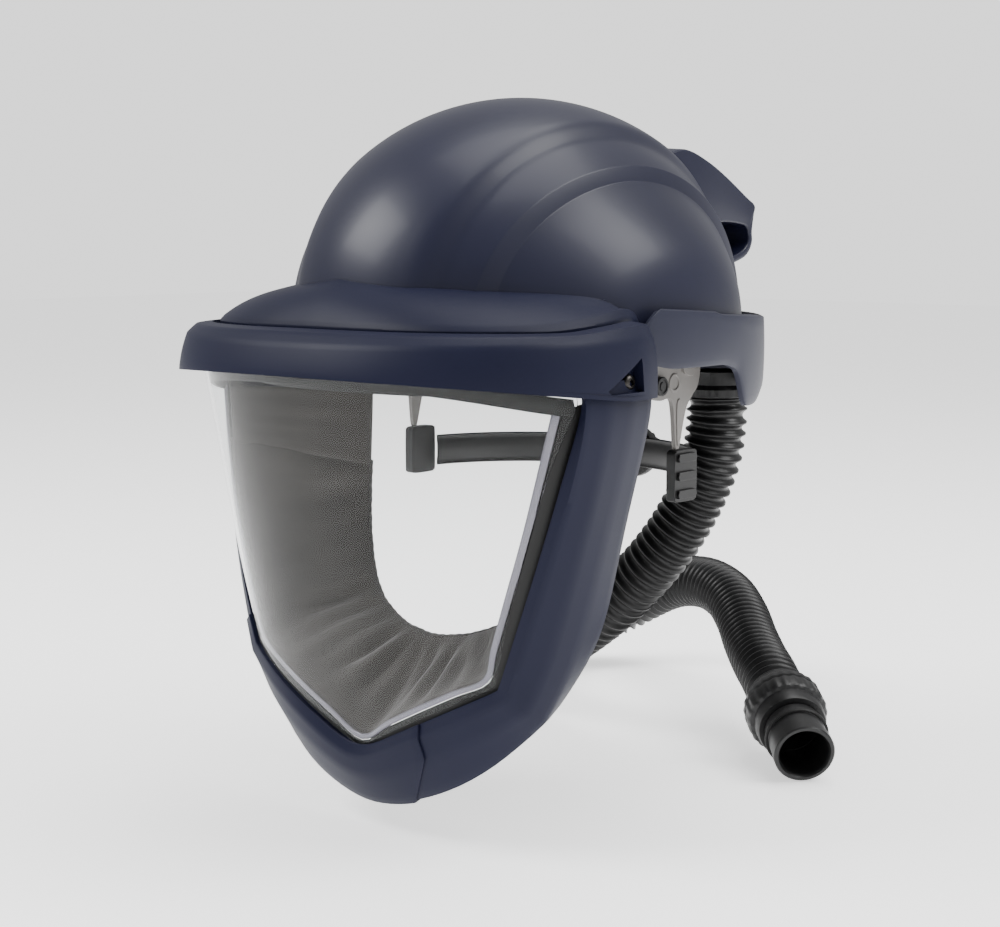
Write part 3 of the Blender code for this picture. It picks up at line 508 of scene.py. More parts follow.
def make_hose():
    """The corrugated hose: thin crests along the whole route, with a hollow between them."""
    per_rib = 8
    route, length = resampled(refined(millimetres(HOSE_ROUTE), 24), spacing=RIB_PITCH / per_rib)
    rows = []
    for k, (point, side, up) in enumerate(tube_frames(route)):
        step = k % per_rib
        hollow = math.sin(math.pi * (step - 1) / (per_rib - 1)) if step > 1 else 0.0
        radius = HOSE_RADIUS - RIB_DEPTH * hollow ** 0.8
        rows.append(circle(point, side, up, radius, 40))
    rows.insert(0, [route[0] + (p - route[0]) * 0.8 for p in rows[0]])
    rows.append([route[-1] + (p - route[-1]) * 0.8 for p in rows[-1]])
    mesh = grid_mesh("hose_ribs", rows, wrap=True)
    hose = add_piece("hose_ribs", mesh, "hose", "helmet", ["breathing_hose"])
    axis = (CONNECTOR_END - CONNECTOR_START).normalized()
    reach = (CONNECTOR_END - CONNECTOR_START).length

    def grips(angle, radius):
        return radius - 0.5 * MM * (0.5 + 0.5 * math.cos(angle * 24)) if radius > 21 * MM else radius

    collar = [(14.2, 1.4), (19.6, 1.4), (20.6, 2.2), (21.0, 6.0), (22.6, 7.2), (23.3, 8.6),
              (23.3, 12), (22.2, 12.8), (22.2, 13.6), (23.3, 14.4), (23.4, 22), (22.4, 24.2),
              (20.4, 25.2), (20.2, 32.6), (19.4, 34.6), (14.2, 34.6)]
    collar = turned("collar_grip", collar, CONNECTOR_START, axis, "black", "helmet",
                    ["hose_collar"], 144, grips)
    start = CONNECTOR_START + axis * (COLLAR_LENGTH + SPIGOT_GAP) * MM
    length_out = reach / MM - COLLAR_LENGTH - SPIGOT_GAP
    spigot = [(13.9, 0.2), (16.2, 0.2), (16.7, 0.8), (16.7, 7.4), (16.1, 7.8), (16.1, 11.2),
              (16.7, 11.6), (16.7, length_out - 7.4), (17.3, length_out - 6.6),
              (17.3, length_out - 0.9), (16.6, length_out - 0.1), (15.0, length_out - 0.1),
              (14.2, length_out - 1.2), (13.9, length_out - 3)]
    spigot = turned("spigot_pipe", spigot, start, axis, "black", "spigot", ["hose_spigot"], 96)
    ring = [(16.9, 0.1), (17.9, 0.1), (18.4, 0.8), (18.4, 1.8), (17.9, 2.5), (16.9, 2.5)]
    ring = turned("spigot_ring", ring, start + axis * 8 * MM, axis, "rubber", "spigot",
                  ["spigot_seal"], 72)


def make_cuff():
    start = Vector((50, 113, -45.4)) * MM
    profile = [(12.6, 0), (18.0, 0), (18.7, 0.7), (18.7, 4.6), (17.8, 5.4), (15.0, 7.0),
               (15.0, 14.4), (14.4, 15), (12.6, 15)]

    def ribs(angle, radius):
        return radius - 0.5 * MM * max(math.cos(angle * 18), 0) if radius > 17 * MM else radius

    turned("cuff_grip", profile, start, (0, 0, 1), "black", "cuff", ["hose_cuff"], 108, ribs)


# ---- helmet shell
RISER_TOP = 1.075


def crown_line(climb):
    """Where the crown's step lies, in side-dome radii, for a share of the climb to the top."""
    return 1.185 + 0.105 * climb


def shell_sink(reach, climb):
    """How far the surface lies under the plain dome at a distance from the side dome's middle."""
    if reach <= 1.0:
        return 7.0 * MM * smooth_step(0.40, 1.05, reach) / smooth_step(0.40, 1.05, 1.0)
    if reach <= RISER_TOP:
        return blend(7.0, 3.4, (reach - 1.0) / (RISER_TOP - 1.0)) * MM
    edge = crown_line(climb)
    if reach <= edge - 0.035:
        return blend(3.4, 4.3, (reach - RISER_TOP) / (edge - 0.035 - RISER_TOP)) * MM
    return 4.3 * MM * (1 - smooth_step(edge - 0.035, edge + 0.055, reach))


def dome_x(y, z):
    return SHELL.x * math.sqrt(max(1 - (y / SHELL.y) ** 2 - (z / SHELL.z) ** 2, 0.0))


def on_shell(y, z, out=0.0):
    """The shell's outside at a side-view point on the wearer's left, raised by out."""
    x = dome_x(y, z)
    normal = Vector((x / SHELL.x ** 2, y / SHELL.y ** 2, z / SHELL.z ** 2)).normalized()
    across = (y - SIDE_CENTRE_Y) / SIDE_HALF_LENGTH
    up = max(z, 0.0) / SIDE_HEIGHT
    reach = math.hypot(across, up)
    climb = (up / reach) ** 2 if reach else 0.0
    return Vector((x, y, z)) - normal * (shell_sink(reach, climb) - out)


def shell_edge_reach(angle):
    """The distance at which a side-view ray leaves the dome's outline."""
    c, s = SIDE_HALF_LENGTH * math.cos(angle), SIDE_HEIGHT * math.sin(angle)
    a = (c / SHELL.y) ** 2 + (s / SHELL.z) ** 2
    b = 2 * SIDE_CENTRE_Y * c / SHELL.y ** 2
    d = (SIDE_CENTRE_Y / SHELL.y) ** 2 - 1
    return (-b + math.sqrt(b * b - 4 * a * d)) / (2 * a)


def shell_rings(angle):
    """Distances along one side-view ray, close together where the surface turns sharply."""
    edge = shell_edge_reach(angle)
    step = crown_line(math.sin(angle) ** 2)
    rings = [0.004, 0.12, 0.24, 0.36, 0.46, 0.55, 0.63, 0.70, 0.77, 0.83, 0.88, 0.92, 0.95, 0.975,
             0.990, 0.997, 1.0, 1.004, 1.02, 1.04, 1.06, 1.071, RISER_TOP, 1.079]
    rings += [blend(1.079, step - 0.055, k / 5) for k in range(1, 6)]
    rings += [blend(step - 0.055, step + 0.085, k / 10) for k in range(1, 11)]
    first = math.asin(rings[-1] / edge)
    rings += [edge * math.sin(blend(first, math.pi / 2, k / 14)) for k in range(1, 15)]
    return rings


def make_shell():
    rays = 150
    bm = bmesh.new()
    for sign in (1, -1):
        columns = []
        for k in range(rays + 1):
            angle = math.pi * k / rays
            column = []
            for reach in shell_rings(angle):
                y = SIDE_CENTRE_Y + reach * SIDE_HALF_LENGTH * math.cos(angle)
                z = reach * SIDE_HEIGHT * math.sin(angle)
                point = on_shell(y, z)
                column.append(Vector((sign * max(point.x, 0.0), point.y, point.z)))
            columns.append(column)
        made = [[bm.verts.new(p) for p in column] for column in columns]
        for left, right in zip(made, made[1:]):
            for i in range(len(left) - 1):
                bm.faces.new((left[i], left[i + 1], right[i + 1], right[i]))
        for column in (made[0], made[-1]):
            skirt = [bm.verts.new((v.co.x * 0.999, v.co.y * 0.999, -6 * MM)) for v in column]
            for i in range(len(column) - 1):
                bm.faces.new((column[i], column[i + 1], skirt[i + 1], skirt[i]))
    mesh = mesh_from("shell_skin", bm, 60)
    shell = add_piece("shell_skin", mesh, "shell", "helmet", ["helmet_shell"])
    give_wall(shell, SHELL_WALL)


# ---- outlines shared by the visor's pieces
def outline(half_width, depth, centre_y, angle, power=OUTLINE_POWER):
    x = half_width * squared(math.sin(angle), 2 / power)
    return x, centre_y - depth * abs(math.cos(angle)) ** (2 / power)


def lens_y(x, z, out=0.0):
    share = min(abs(x) / (LENS_HALF_WIDTH + out), 1.0)
    bulge = (1 - share ** OUTLINE_POWER) ** (1 / OUTLINE_POWER)
    return LENS_CENTRE_Y - LENS_LEAN * z - (LENS_DEPTH + out) * bulge


def lens_point(x, z, inward=0.0):
    step = 0.1 * MM
    slope_x = (lens_y(x + step, z) - lens_y(x - step, z)) / (2 * step)
    slope_z = (lens_y(x, z + step) - lens_y(x, z - step)) / (2 * step)
    front = Vector((slope_x, -1.0, slope_z)).normalized()
    return Vector((x, lens_y(x, z), z)) - front * inward


def lens_half_width(z):
    (top_x, top_z), (low_x, low_z) = LENS_SIDE_TOP, LENS_SIDE_LOW
    return blend(top_x, low_x, max(top_z - z, 0.0) / (top_z - low_z))


def lens_bottom(x):
    return blend(LENS_TIP_Z, LENS_SIDE_LOW.y, min(abs(x) / LENS_SIDE_LOW.x, 1.0))


LENS_EDGE = [(122, -32), (116.5, -60), (109, -92), (98.5, -127), (89.5, -153), (83.5, -169.5),
             (66, -178.6), (45, -189.1), (22, -200.5), (0, -211.5)]
FRAME_FRONT = [(127.5, -106, -32), (122.5, -108, -61), (114.5, -112.5, -93), (104, -117, -129),
               (95, -119, -157), (88.5, -120.5, -175), (69, -127.5, -186), (46, -132.5, -197),
               (22, -134, -208.5), (0, -132, -218.5)]
FRAME_CREASE = [(129.5, -90, -32), (125.5, -93, -62), (119, -97, -94), (110, -101, -131),
                (102, -104, -160), (94.5, -111, -182), (72, -123, -196), (48, -129, -208),
                (23, -131, -219), (0, -130, -227)]
FRAME_CORNER = [(128.5, -70, -32), (124, -74, -62), (118.5, -79, -94), (111, -83, -131),
                (104, -86, -161), (94.5, -97, -190), (73, -110, -214), (49, -117, -229),
                (24, -119, -238.5), (0, -120, -243)]
FRAME_REAR = [(125, -51, -32), (120.5, -55, -62), (115.5, -61, -94), (107.5, -61, -130),
              (99.5, -62, -158), (87, -76, -186), (68, -91, -208), (46, -97, -223),
              (23, -100, -233), (0, -101, -238)]
FACE_OVAL = [(77, -40, -38), (77, -42, -78), (75, -45, -97), (69, -51, -117), (59, -58, -137),
             (47, -64, -149), (34, -68, -156), (22, -71, -160), (11, -72, -162), (0, -73, -163)]


def lens_edge_points(outward, inward):
    points = []
    middle = Vector((0.0, -110 * MM))
    for x, z in LENS_EDGE:
        flat = Vector((x * MM, z * MM))
        edge = flat + (flat - middle).normalized() * outward
        edge.x = max(edge.x, 0.0) if x else 0.0
        points.append(lens_point(edge.x, edge.y, inward))
    return points


def frame_rows():
    rows = [lens_edge_points(1.2 * MM, -0.6 * MM)]
    rows += [millimetres(line) for line in (FRAME_FRONT, FRAME_CREASE, FRAME_CORNER, FRAME_REAR)]
    return [mirrored(row) for row in rows]


# ---- helmet's outer parts
BRIM_HALF_WIDTH = 116.3 * MM
BRIM_DEPTH = 89.6 * MM
BRIM_REAR = [(0, 26), (12, 24.5), (34, 22.4), (47, 22.6), (71, 21.6), (88, 20), (97, 18), (101, 16)]
BRIM_END = [(114.6, -62, 7.6), (111.6, -50, 7.6), (108.2, -41, 4.0)]


def make_brim():
    """The peak, from its seam on the dome to the edge just inside the visor's top band."""
    steps = 26
    rear = []
    for x, z in BRIM_REAR:
        y = -SHELL.y * math.sqrt(1 - (x * MM / SHELL.x) ** 2 - (z * MM / SHELL.z) ** 2)
        rear.append(on_shell(y, z * MM, 0.9 * MM))
    edge = []
    for k in range(10):
        x, y = outline(BRIM_HALF_WIDTH, BRIM_DEPTH, VISOR_CENTRE_Y, math.radians(10 * k))
        edge.append(Vector((x, y, blend(3.8, 3.0, k / 9) * MM + 3.4 * MM * smooth_step(7, 9.4, k))))
    edge += millimetres(BRIM_END)
    rear_line, edge_line = (resampled(refined(line, 12), steps)[0] for line in (rear, edge))
    rows = [[] for _ in range(8)]
    for k, (top, low) in enumerate(zip(rear_line, edge_line)):
        share = k / steps
        chamfer = smooth_step(0.45, 0.85, share)
        rows[0].append(Vector((low.x * 0.992, low.y * 0.992, low.z - 4.6 * MM)))
        rows[1].append(low)
        rows[2].append(top.lerp(low, 0.94 - 0.04 * chamfer)
                       + Vector((0, 0, blend(1.5, 3.2, chamfer) * MM)))
        flat = 1 - 0.8 * smooth_step(0.60, 0.92, share)
        rows[3].append(top.lerp(low, 0.80) + Vector((0, 0, blend(2.2, 3.2, flat) * MM)))
        rows[4].append(top.lerp(low, 0.60) + Vector((0, 0, 4.0 * flat * MM)))
        rows[5].append(top.lerp(low, 0.35) + Vector((0, 0, 3.2 * flat * MM)))
        rows[6].append(top.lerp(low, 0.12) + Vector((0, 0, 1.2 * flat * MM)))
        rows[7].append(top)
    rows = [list(reversed(mirrored(list(reversed(row))))) for row in rows]
    panel("brim_skin", rows, 2.0 * MM, "frame", "helmet", ["brim_cover"],
          creases=((1, 0.9), (2, 0.75)))


# ---- visor
def make_visor_band():
    steps = 44
    lines = {"lip": [], "shoulder": [], "crease": [], "face": [], "bottom": [], "ledge": []}
    for k in range(steps + 1):
        angle = math.radians(blend(-90, 90, k / steps))
        turn = abs(angle) / (math.pi / 2)
        rise = smooth_step(0.80, 1.05, turn)
        bottom_z = blend(-18.5, -31.2, turn ** 1.9)
        for name, width, depth, z in (
                ("lip", 118.3, 95.0, 3.4 - 1.2 * turn + 3.4 * rise),
                ("shoulder", 126, 103, 2.2 - 0.8 * turn + 3.0 * rise),
                ("crease", 129, 109, -3.4 + 1.6 * turn), ("face", 131, 113, -12.0),
                ("bottom", 131.2, 115, bottom_z), ("ledge", 129.4, 104.5, bottom_z + 1.2)):
            x, y = outline(width * MM, depth * MM, VISOR_CENTRE_Y, angle)
            lines[name].append(Vector((x, y, z * MM)))
    tail = {"lip": (116.8, 120.6, 7.0), "shoulder": (124.5, 121.5, 5.2), "crease": (128, 124.5, -0.8),
            "face": (130, 127, -12), "bottom": (130, 127, -31.2), "ledge": (127.4, 124.6, -30.0)}
    for name, (x_mid, x_end, z) in tail.items():
        mid = Vector((x_mid, -62, z)) * MM
        end = Vector((x_end, -51, z)) * MM
        if name in ("lip", "shoulder", "crease"):
            end.z -= 2.5 * MM
        for point in (mid, end):
            lines[name].append(point)
            lines[name].insert(0, Vector((-point.x, point.y, point.z)))
    rows = [lines[name] for name in ("ledge", "bottom", "face", "crease", "shoulder", "lip")]
    band = panel("visor_brow", rows, 2.4 * MM, "frame", "visor", ["visor_top_band"],
                 creases=((1, 0.9), (3, 0.75), (4, 0.85)), edge=0)
    cup = [(-96.5, -24.5), (-96.5, -13.5), (-66, -6.5), (-64, -29), (-93, -29)]
    wedge = [(-94.5, -24.9), (-68, -10.5), (-66.5, -26.8), (-92.5, -26.8)]
    shapes = []
    for sign in (1, -1):
        shapes.append(("UNION", plate_mesh("cup", cup, 121.6, 128.4, sign, 1)))
        shapes.append(("DIFFERENCE", plate_mesh("wedge", wedge, 124, 140, sign, 1)))
        hole = turned_mesh("screw_hole", [(0, -6), (4.4, -6), (4.4, 9), (0, 9)])
        place = Vector((sign * 130, SCREW_Y, SCREW_Z)) * MM
        shapes.append(("DIFFERENCE", pointed(hole, place, (sign, 0, 0))))
    carve(band, shapes)
    soften(band, 0.5 * MM)
    profile = [(0, 0), (2.2, 0), (2.2, 5.2), (3.8, 5.4), (4.1, 5.9), (4.1, 6.6), (3.7, 7.4), (2.6, 8.1),
               (1.7, 8.2), (1.6, 6.6), (0, 6.6)]

    def socket(angle, radius):
        return radius * (1 + 0.14 * math.cos(6 * angle)) if radius < 1.8 * MM else radius

    for side, sign in (("left", 1), ("right", -1)):
        turned("screw_head_" + side, profile, Vector((sign * 118.6, SCREW_Y, SCREW_Z)) * MM,
               (sign, 0, 0), "steel", "visor", ["visor_screw_" + side], 48, socket)


def make_frame():
    rows = frame_rows()
    for row in rows:
        for end in (0, -1):
            tip = row[end].copy()
            tip.x -= math.copysign(3.6 * MM, tip.x)
            tip.z = -21 * MM
            row.insert(0 if end == 0 else len(row), tip)
    panel("visor_arms", rows, 4.0 * MM, "frame", "visor", ["visor_frame"],
          creases=((1, 1.0), (2, 0.85), (3, 0.95)), column_creases=((6, 0.7), (14, 0.7)))


def make_chin_cover():
    """The cover that clamps the lens: from the right cheek, past the chin's middle, to a step."""
    rows = []
    for r, row in enumerate(frame_rows()):
        line = row[len(LENS_EDGE) - 3:len(row) - 4]
        line[0] = line[0].lerp(line[1], (0.12, 0.12, 0.14, 0.85, 0.95)[r])
        line[-1] = line[-1].lerp(line[-2], (0.10, 0.10, 0.10, 0.62, 0.85)[r])
        rows.append(line)
    rows = inset_rows(rows, -1.1 * MM)
    panel("chin_guard", rows, 1.6 * MM, "frame", "visor", ["chin_cover"],
          creases=((0, 1.0), (1, 1.0), (2, 0.85), (3, 0.95), (4, 1.0)),
          column_creases=((0, 1.0), (6, 0.7)))


def make_lens():
    across, down = 60, 26
    rows = []
    for r in range(down + 1):
        row = []
        for c in range(across + 1):
            share = blend(-1, 1, c / across)
            low = lens_bottom(share * LENS_SIDE_LOW.x)
            z = blend(low, LENS_TOP_Z, r / down)
            x = share * (lens_half_width(z) if z > LENS_SIDE_LOW.y else LENS_SIDE_LOW.x)
            row.append(Vector((x, lens_y(x, z), z)))
        rows.append(row)
    lens = panel("lens_clear", rows, LENS_WALL, "lens", "visor", ["lens"], levels=0, edge=0.3 * MM)
    lens.visible_shadow = False
    lens.visible_diffuse = False


# ---- fabric seal
def seal_lines():
    """Front hem line behind the lens edge, two lines along the skirt and the face opening."""
    hem = lens_edge_points(-5.0 * MM, 5.2 * MM)
    oval = millimetres(FACE_OVAL)
    near = [h.lerp(o, 0.33) + Vector((0, 3 * MM, 0)) for h, o in zip(hem, oval)]
    far = [h.lerp(o, 0.70) + Vector((0, 3 * MM, 0)) for h, o in zip(hem, oval)]
    return hem, near, far, oval


def cloth_rows(lines, per_column, per_row):
    """A fine grid from a few lines: more points along each line, then more lines between them."""
    fine = [refined(list(line), per_column) for line in lines]
    columns = [refined(list(column), per_row) for column in zip(*fine)]
    return [list(row) for row in zip(*columns)]


def folded(rows, depth):
    """Soft folds that run from the outer hem to the inner one, and small gathers by the inner one."""
    count, width = len(rows) - 1, len(rows[0]) - 1
    moved = []
    for r, row in enumerate(rows):
        v = r / count
        line = []
        for c, point in enumerate(row):
            u = c / width
            free = math.sin(math.pi * v)
            wave = free * math.sin(2 * math.pi * (8 * u + 0.3 * math.sin(10 * math.pi * u) + 0.25 * v))
            wave += 0.45 * free * math.sin(2 * math.pi * (19 * u - 0.8 * v))
            wave += 0.5 * v * v * (1 - v) * 4 * math.sin(2 * math.pi * 54 * u)
            wave += 0.5 * free * noise.noise(point * 60)
            line.append(point + grid_normal(rows, r, c) * wave * depth)
        moved.append(line)
    return moved


def hem_tube(name, line, radius):
    """A rolled edge along a line of points, with the small lumps of a gathered hem."""
    route, _ = resampled(refined(line, 24), spacing=1.6 * MM)
    rows = []
    for k, (point, side, up) in enumerate(tube_frames(route)):
        swell = radius * (1 + 0.10 * math.sin(k * 1.9) + 0.05 * math.sin(k * 0.7))
        rows.append(circle(point, side, up, swell, 10))
    rows.insert(0, [route[0]] * 10)
    rows.append([route[-1]] * 10)
    return add_piece(name, grid_mesh(name, rows, wrap=True), "hem", "visor")


def cloth_piece(name, rows, body, nodes):
    piece = add_piece(name, grid_mesh(name, rows), "fabric", body, nodes)
    give_wall(piece, 1.1 * MM)
    return piece


def make_face_seal():
    """The fabric between the lens and the face, and a gusset that joins it above each cheek."""
    lines = seal_lines()
    rows = folded(cloth_rows([mirrored(line[1:]) for line in lines], 8, 8), 1.9 * MM)
    seal = cloth_piece("seal_cloth", rows, "visor", ["face_seal"])
    inner = hem_tube("seal_hem", rows[-1][::8], 1.7 * MM)
    outer = hem_tube("seal_binding", rows[0][::8], 1.3 * MM)
    for side, sign in (("left", 1), ("right", -1)):
        strips = []
        for line, tuck in zip(lines, (0.4, 0.9, 0.9, 0.4)):
            top, low = (p - Vector((tuck * MM, 0, 0)) for p in line[:2])
            low = low + (low - top).normalized() * 3 * MM
            ends = [Vector((sign * p.x, p.y, p.z)) for p in (top, top.lerp(low, 0.5), low)]
            strips.append(ends if sign > 0 else list(reversed(ends)))
        grid = folded(cloth_rows(strips, 7, 6), 0.5 * MM)
        gusset = cloth_piece("gusset_cloth_" + side, grid, None, ["cheek_gusset_" + side])
        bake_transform(gusset)


# ---- head harness
def ring_point(half_width, half_length, centre_y, angle, z):
    return Vector((half_width * math.sin(angle), centre_y - half_length * math.cos(angle), z)) * MM


def make_harness():
    levels = ((-14, 0.0), (-13, 0.5), (-9, 0.5), (-8, 0.0), (0, 0.2), (8, 0.0), (9, 0.5), (13, 0.5),
              (14, 0.0))
    rows = [[ring_point(83.4 + out, 100.4 + out, -2, 2 * math.pi * k / 72, z) for k in range(72)]
            for z, out in levels]
    panel("head_ring", rows, 1.6 * MM, "black", "helmet", ["headband"], levels=1, wrap=True)
    make_sweatband()
    for name, turn, apex in (("a", 38, 82), ("b", -38, 84.6)):
        direction = math.radians(turn)
        along = Vector((math.sin(direction), -math.cos(direction), 0))
        across = Vector((math.cos(direction), math.sin(direction), 0))
        rows = []
        for offset, out in ((-9, 0.0), (-8.6, 0.25), (-7.4, 0.25), (-6.8, 0.0), (0, 0.1), (6.8, 0.0),
                            (7.4, 0.25), (8.6, 0.25), (9, 0.0)):
            row = []
            for k in range(49):
                angle = blend(math.radians(5), math.radians(175), k / 48)
                place = along * (math.cos(angle) * (97.5 + out) * MM) + across * (offset * MM)
                place.z = math.sin(angle) * (apex + out) * MM
                place.y -= 2 * MM
                row.append(place)
            rows.append(row)
        panel("crown_webbing_" + name, rows, 1.1 * MM, "webbing", "helmet",
              ["crown_strap_" + name], levels=0, edge=0.2 * MM)
    rows = []
    for z, out in ((-88, 0.0), (-87.2, 0.4), (-84, 0.4), (-83, 0.0), (-75, 0.0), (-74, 0.4),
                   (-70.8, 0.4), (-70, 0.0)):
        row = []
        for k in range(61):
            angle = blend(math.radians(100), math.radians(260), k / 60)
            row.append(ring_point(88.6 + out, 83.6 + out, 10, angle, z))
        rows.append(row)
    panel("nape_band", rows, 1.4 * MM, "black", "nape", ["nape_strap"], levels=0, edge=0.3 * MM)
    housing = turned("ratchet_case", [
        (0, 0), (15.2, 0), (16, 0.8), (16, 6.4), (14.6, 8.6), (12.6, 9.5), (0, 9.5)],
        Vector((0, 94.4, -79)) * MM, (0, 1, 0), "black", "nape", ["ratchet_housing"],
        64, lambda angle, radius: radius * (1 + 0.16 * abs(math.cos(angle)) ** 3))
    joined(housing, bm_box((-21.8, 95, -87), (21.8, 99.5, -71)))
    knob = [(0, 0), (10.2, 0), (10.9, 0.7), (10.9, 8.4), (9.6, 10.2), (6, 10.4), (5.4, 9.8), (0, 9.8)]

    def grip(angle, radius):
        return radius - 0.8 * MM * (0.5 + 0.5 * math.cos(16 * angle)) if radius > 9.5 * MM else radius

    turned("ratchet_grip", knob, Vector((0, 104.4, -79)) * MM,
           (0, 1, 0), "black", "knob", ["ratchet_knob"], 128, grip)


def bm_box(low, high):
    """A box with softened edges, in millimetres."""
    bm = bmesh.new()
    bmesh.ops.create_cube(bm, size=1.0)
    bmesh.ops.scale(bm, vec=[(h - l) * MM for l, h in zip(low, high)], verts=bm.verts)
    bmesh.ops.translate(bm, vec=[(h + l) / 2 * MM for l, h in zip(low, high)], verts=bm.verts)
    bmesh.ops.bevel(bm, geom=list(bm.edges), offset=1.2 * MM, segments=3, affect="EDGES")
    return mesh_from("box", bm)


def make_sweatband():
    """The padded brow strip: a crowned strip with sewn channels across it."""
    steps, around = 96, 18
    rows = []
    for k in range(steps + 1):
        angle = math.radians(blend(-61, 61, k / steps))
        seam = min(abs(k % 12), 12 - abs(k % 12)) / 1.1
        full = 1 - 0.45 * math.exp(-seam * seam)
        full *= max(math.sin(math.pi * min(k, steps - k, 4) / 8), 0.05)
        row = []
        for i in range(around):
            turn = 2 * math.pi * i / around
            out = 2.5 * full * squared(math.cos(turn), 0.8)
            z = -0.5 + 15.2 * squared(math.sin(turn), 0.7)
            row.append(ring_point(79.1 + out, 96.1 + out, -2, angle, z))
        rows.append(row)
    pad = add_piece("brow_pad", grid_mesh("brow_pad", rows, wrap=True), "fabric", "helmet",
                    ["sweatband"])
    bm = bmesh.new()
    bm.from_mesh(pad.data)
    bmesh.ops.holes_fill(bm, edges=bm.edges)
    bmesh.ops.recalc_face_normals(bm, faces=bm.faces)
    bm.to_mesh(pad.data)
    bm.free()


def make_brackets():
    """The grey hanger beside each ear with its pin, clip and ring, and the black buckle below."""
    hanger = [(-15, -12), (-13.5, -33), (-5, -37.6), (4.5, -37), (7.6, -44), (9.6, -62), (11.5, -64),
              (13.4, -62), (18.6, -44), (24, -37), (30, -30), (31, -14), (20, -0.6), (-6, -0.6)]
    clip = [(14, -19), (15, -24), (22, -26), (24, -22), (20, -18.5)]
    buckle = rounded_rectangle((7.2, -91.8), (26.8, -64.6), 3.0)
    for side, sign in (("left", 1), ("right", -1)):
        body = plate("hanger_" + side, hanger, 92.2, 94.8, "grey", "helmet",
                     ["suspension_bracket_" + side], sign)
        ring = turned_mesh("ring", [(3.4, -0.6), (5.0, -0.6), (5.0, 0.3), (4.7, 0.6), (3.7, 0.6),
                                    (3.4, 0.3)], 40)
        pointed(ring, Vector((sign * 94.8, 8, -29)) * MM, (sign, 0, 0))
        rib = plate_mesh("rib", [(10.2, -40), (10.6, -60), (12.4, -60), (14.2, -40)], 94.4, 95.4, sign)
        joined(body, ring, rib, plate_mesh("clip", clip, 94.4, 96.6, sign))
        pin = [(0, 0), (3.0, 0), (3.0, 8.7), (4.6, 8.8), (5.0, 9.2), (5.0, 10.2), (4.6, 10.6),
               (3.6, 10.6), (3.4, 10.1), (2.4, 10.1), (2.2, 10.6), (0, 10.6)]
        turned("hanger_pin_" + side, pin, Vector((sign * 86.6, -5, -30)) * MM, (sign, 0, 0),
               "black", "helmet", ["bracket_pin_" + side])
        block = plate("buckle_" + side, buckle, 90.8, 96.4, "black", "helmet",
                      ["strap_buckle_" + side], sign)
        bars = [plate_mesh("bar", rounded_rectangle((9, z), (25, z + 4.4), 1.6), 96, 97.9, sign, 3)
                for z in (-90, -80.4, -70.8)]
        joined(block, *bars)


# ---- other helmet parts
def make_rear_band():
    """The neck band: a smooth skin with a rounded rim, a small flange on top and sloped ends."""
    steps = 120
    rows = [[] for _ in range(7)]
    for k in range(steps + 1):
        near_end = min(k, steps - k)
        for row, (slant, grow, share) in zip(rows, (
                (0.8, 0.972, 1.0), (0.6, 0.993, 1.0), (0.1, 1.001, 0.93), (0.0, 1.004, 0.55),
                (0.2, 1.004, 0.30), (4.4, 1.0, 0.0), (5.4, 0.985, -0.02))):
            start = 71.7 + slant
            angle = math.radians(blend(start, 360 - start, k / steps))
            x = 120 * math.sin(angle)
            y = -150 * math.cos(angle)
            top = blend(10, 2, min(max((y + 40) / 135, 0.0), 1.0))
            top += 1.2 * smooth_step(-44, -40, y) * (1 - smooth_step(10, 16, y))
            bottom = -19.0
            bottom -= 3.0 * smooth_step(20, 34, y)
            bottom -= 21.0 * smooth_step(34, 48, y)
            bottom += 6.0 * smooth_step(60, 90, y)
            bottom += 3.0 * (1 - smooth_step(0, 5, near_end))
            row.append(Vector((x * grow, y * grow, blend(top, bottom, share))) * MM)
    panel("neck_band", rows, 2.2 * MM, "band", "helmet", ["rear_band"], levels=1,
          creases=((1, 0.6), (5, 0.7)))


def make_crown_tail():
    """The ridge off the back of the crown: a closed loop, tapered to its tip and crowned on top."""
    outer = [(60, 86), (80, 92.5), (100, 96.3), (124, 89.8), (148, 80.2), (170, 69.6), (177.6, 65.6),
             (177.2, 61), (175.2, 50), (175.4, 42), (170.5, 35), (161, 31.2), (140, 27), (120, 23.5),
             (105, 26), (88, 48)]
    hole = [(104, 46), (112, 52), (124, 54), (136, 54.4), (147, 54.6), (160, 53.6), (168, 52),
            (170.6, 48), (170.8, 43), (168.5, 39.6), (164, 37), (156, 34.6), (140, 31.4),
            (126, 28.8), (112, 29), (104, 36)]
    around = 6
    outer, hole = closed_line(outer, around), closed_line(hole, around)
    sections = []
    across = [-1, -0.93, -0.6, -0.2, 0.2, 0.6, 0.93, 1]
    for (y0, z0), (y1, z1) in zip(outer, hole):
        section = []
        for sign, y, z in [(c, y0, z0) for c in across] + [(-c, y1, z1) for c in across]:
            wide = blend(36, 32, smooth_step(110 * MM, 178 * MM, y)) * MM
            crown = 1.6 * MM * sign * sign * smooth_step(40 * MM, 66 * MM, z)
            section.append(Vector((sign * wide, y, z - crown)))
        sections.append(section)
    sections.append(sections[0])
    mesh = grid_mesh("hang_ridge", sections, wrap=True)
    ridge = add_piece("hang_ridge", mesh, "shell", "helmet", ["crown_tail"])
    soften(ridge, 1.6 * MM, 3, 50)


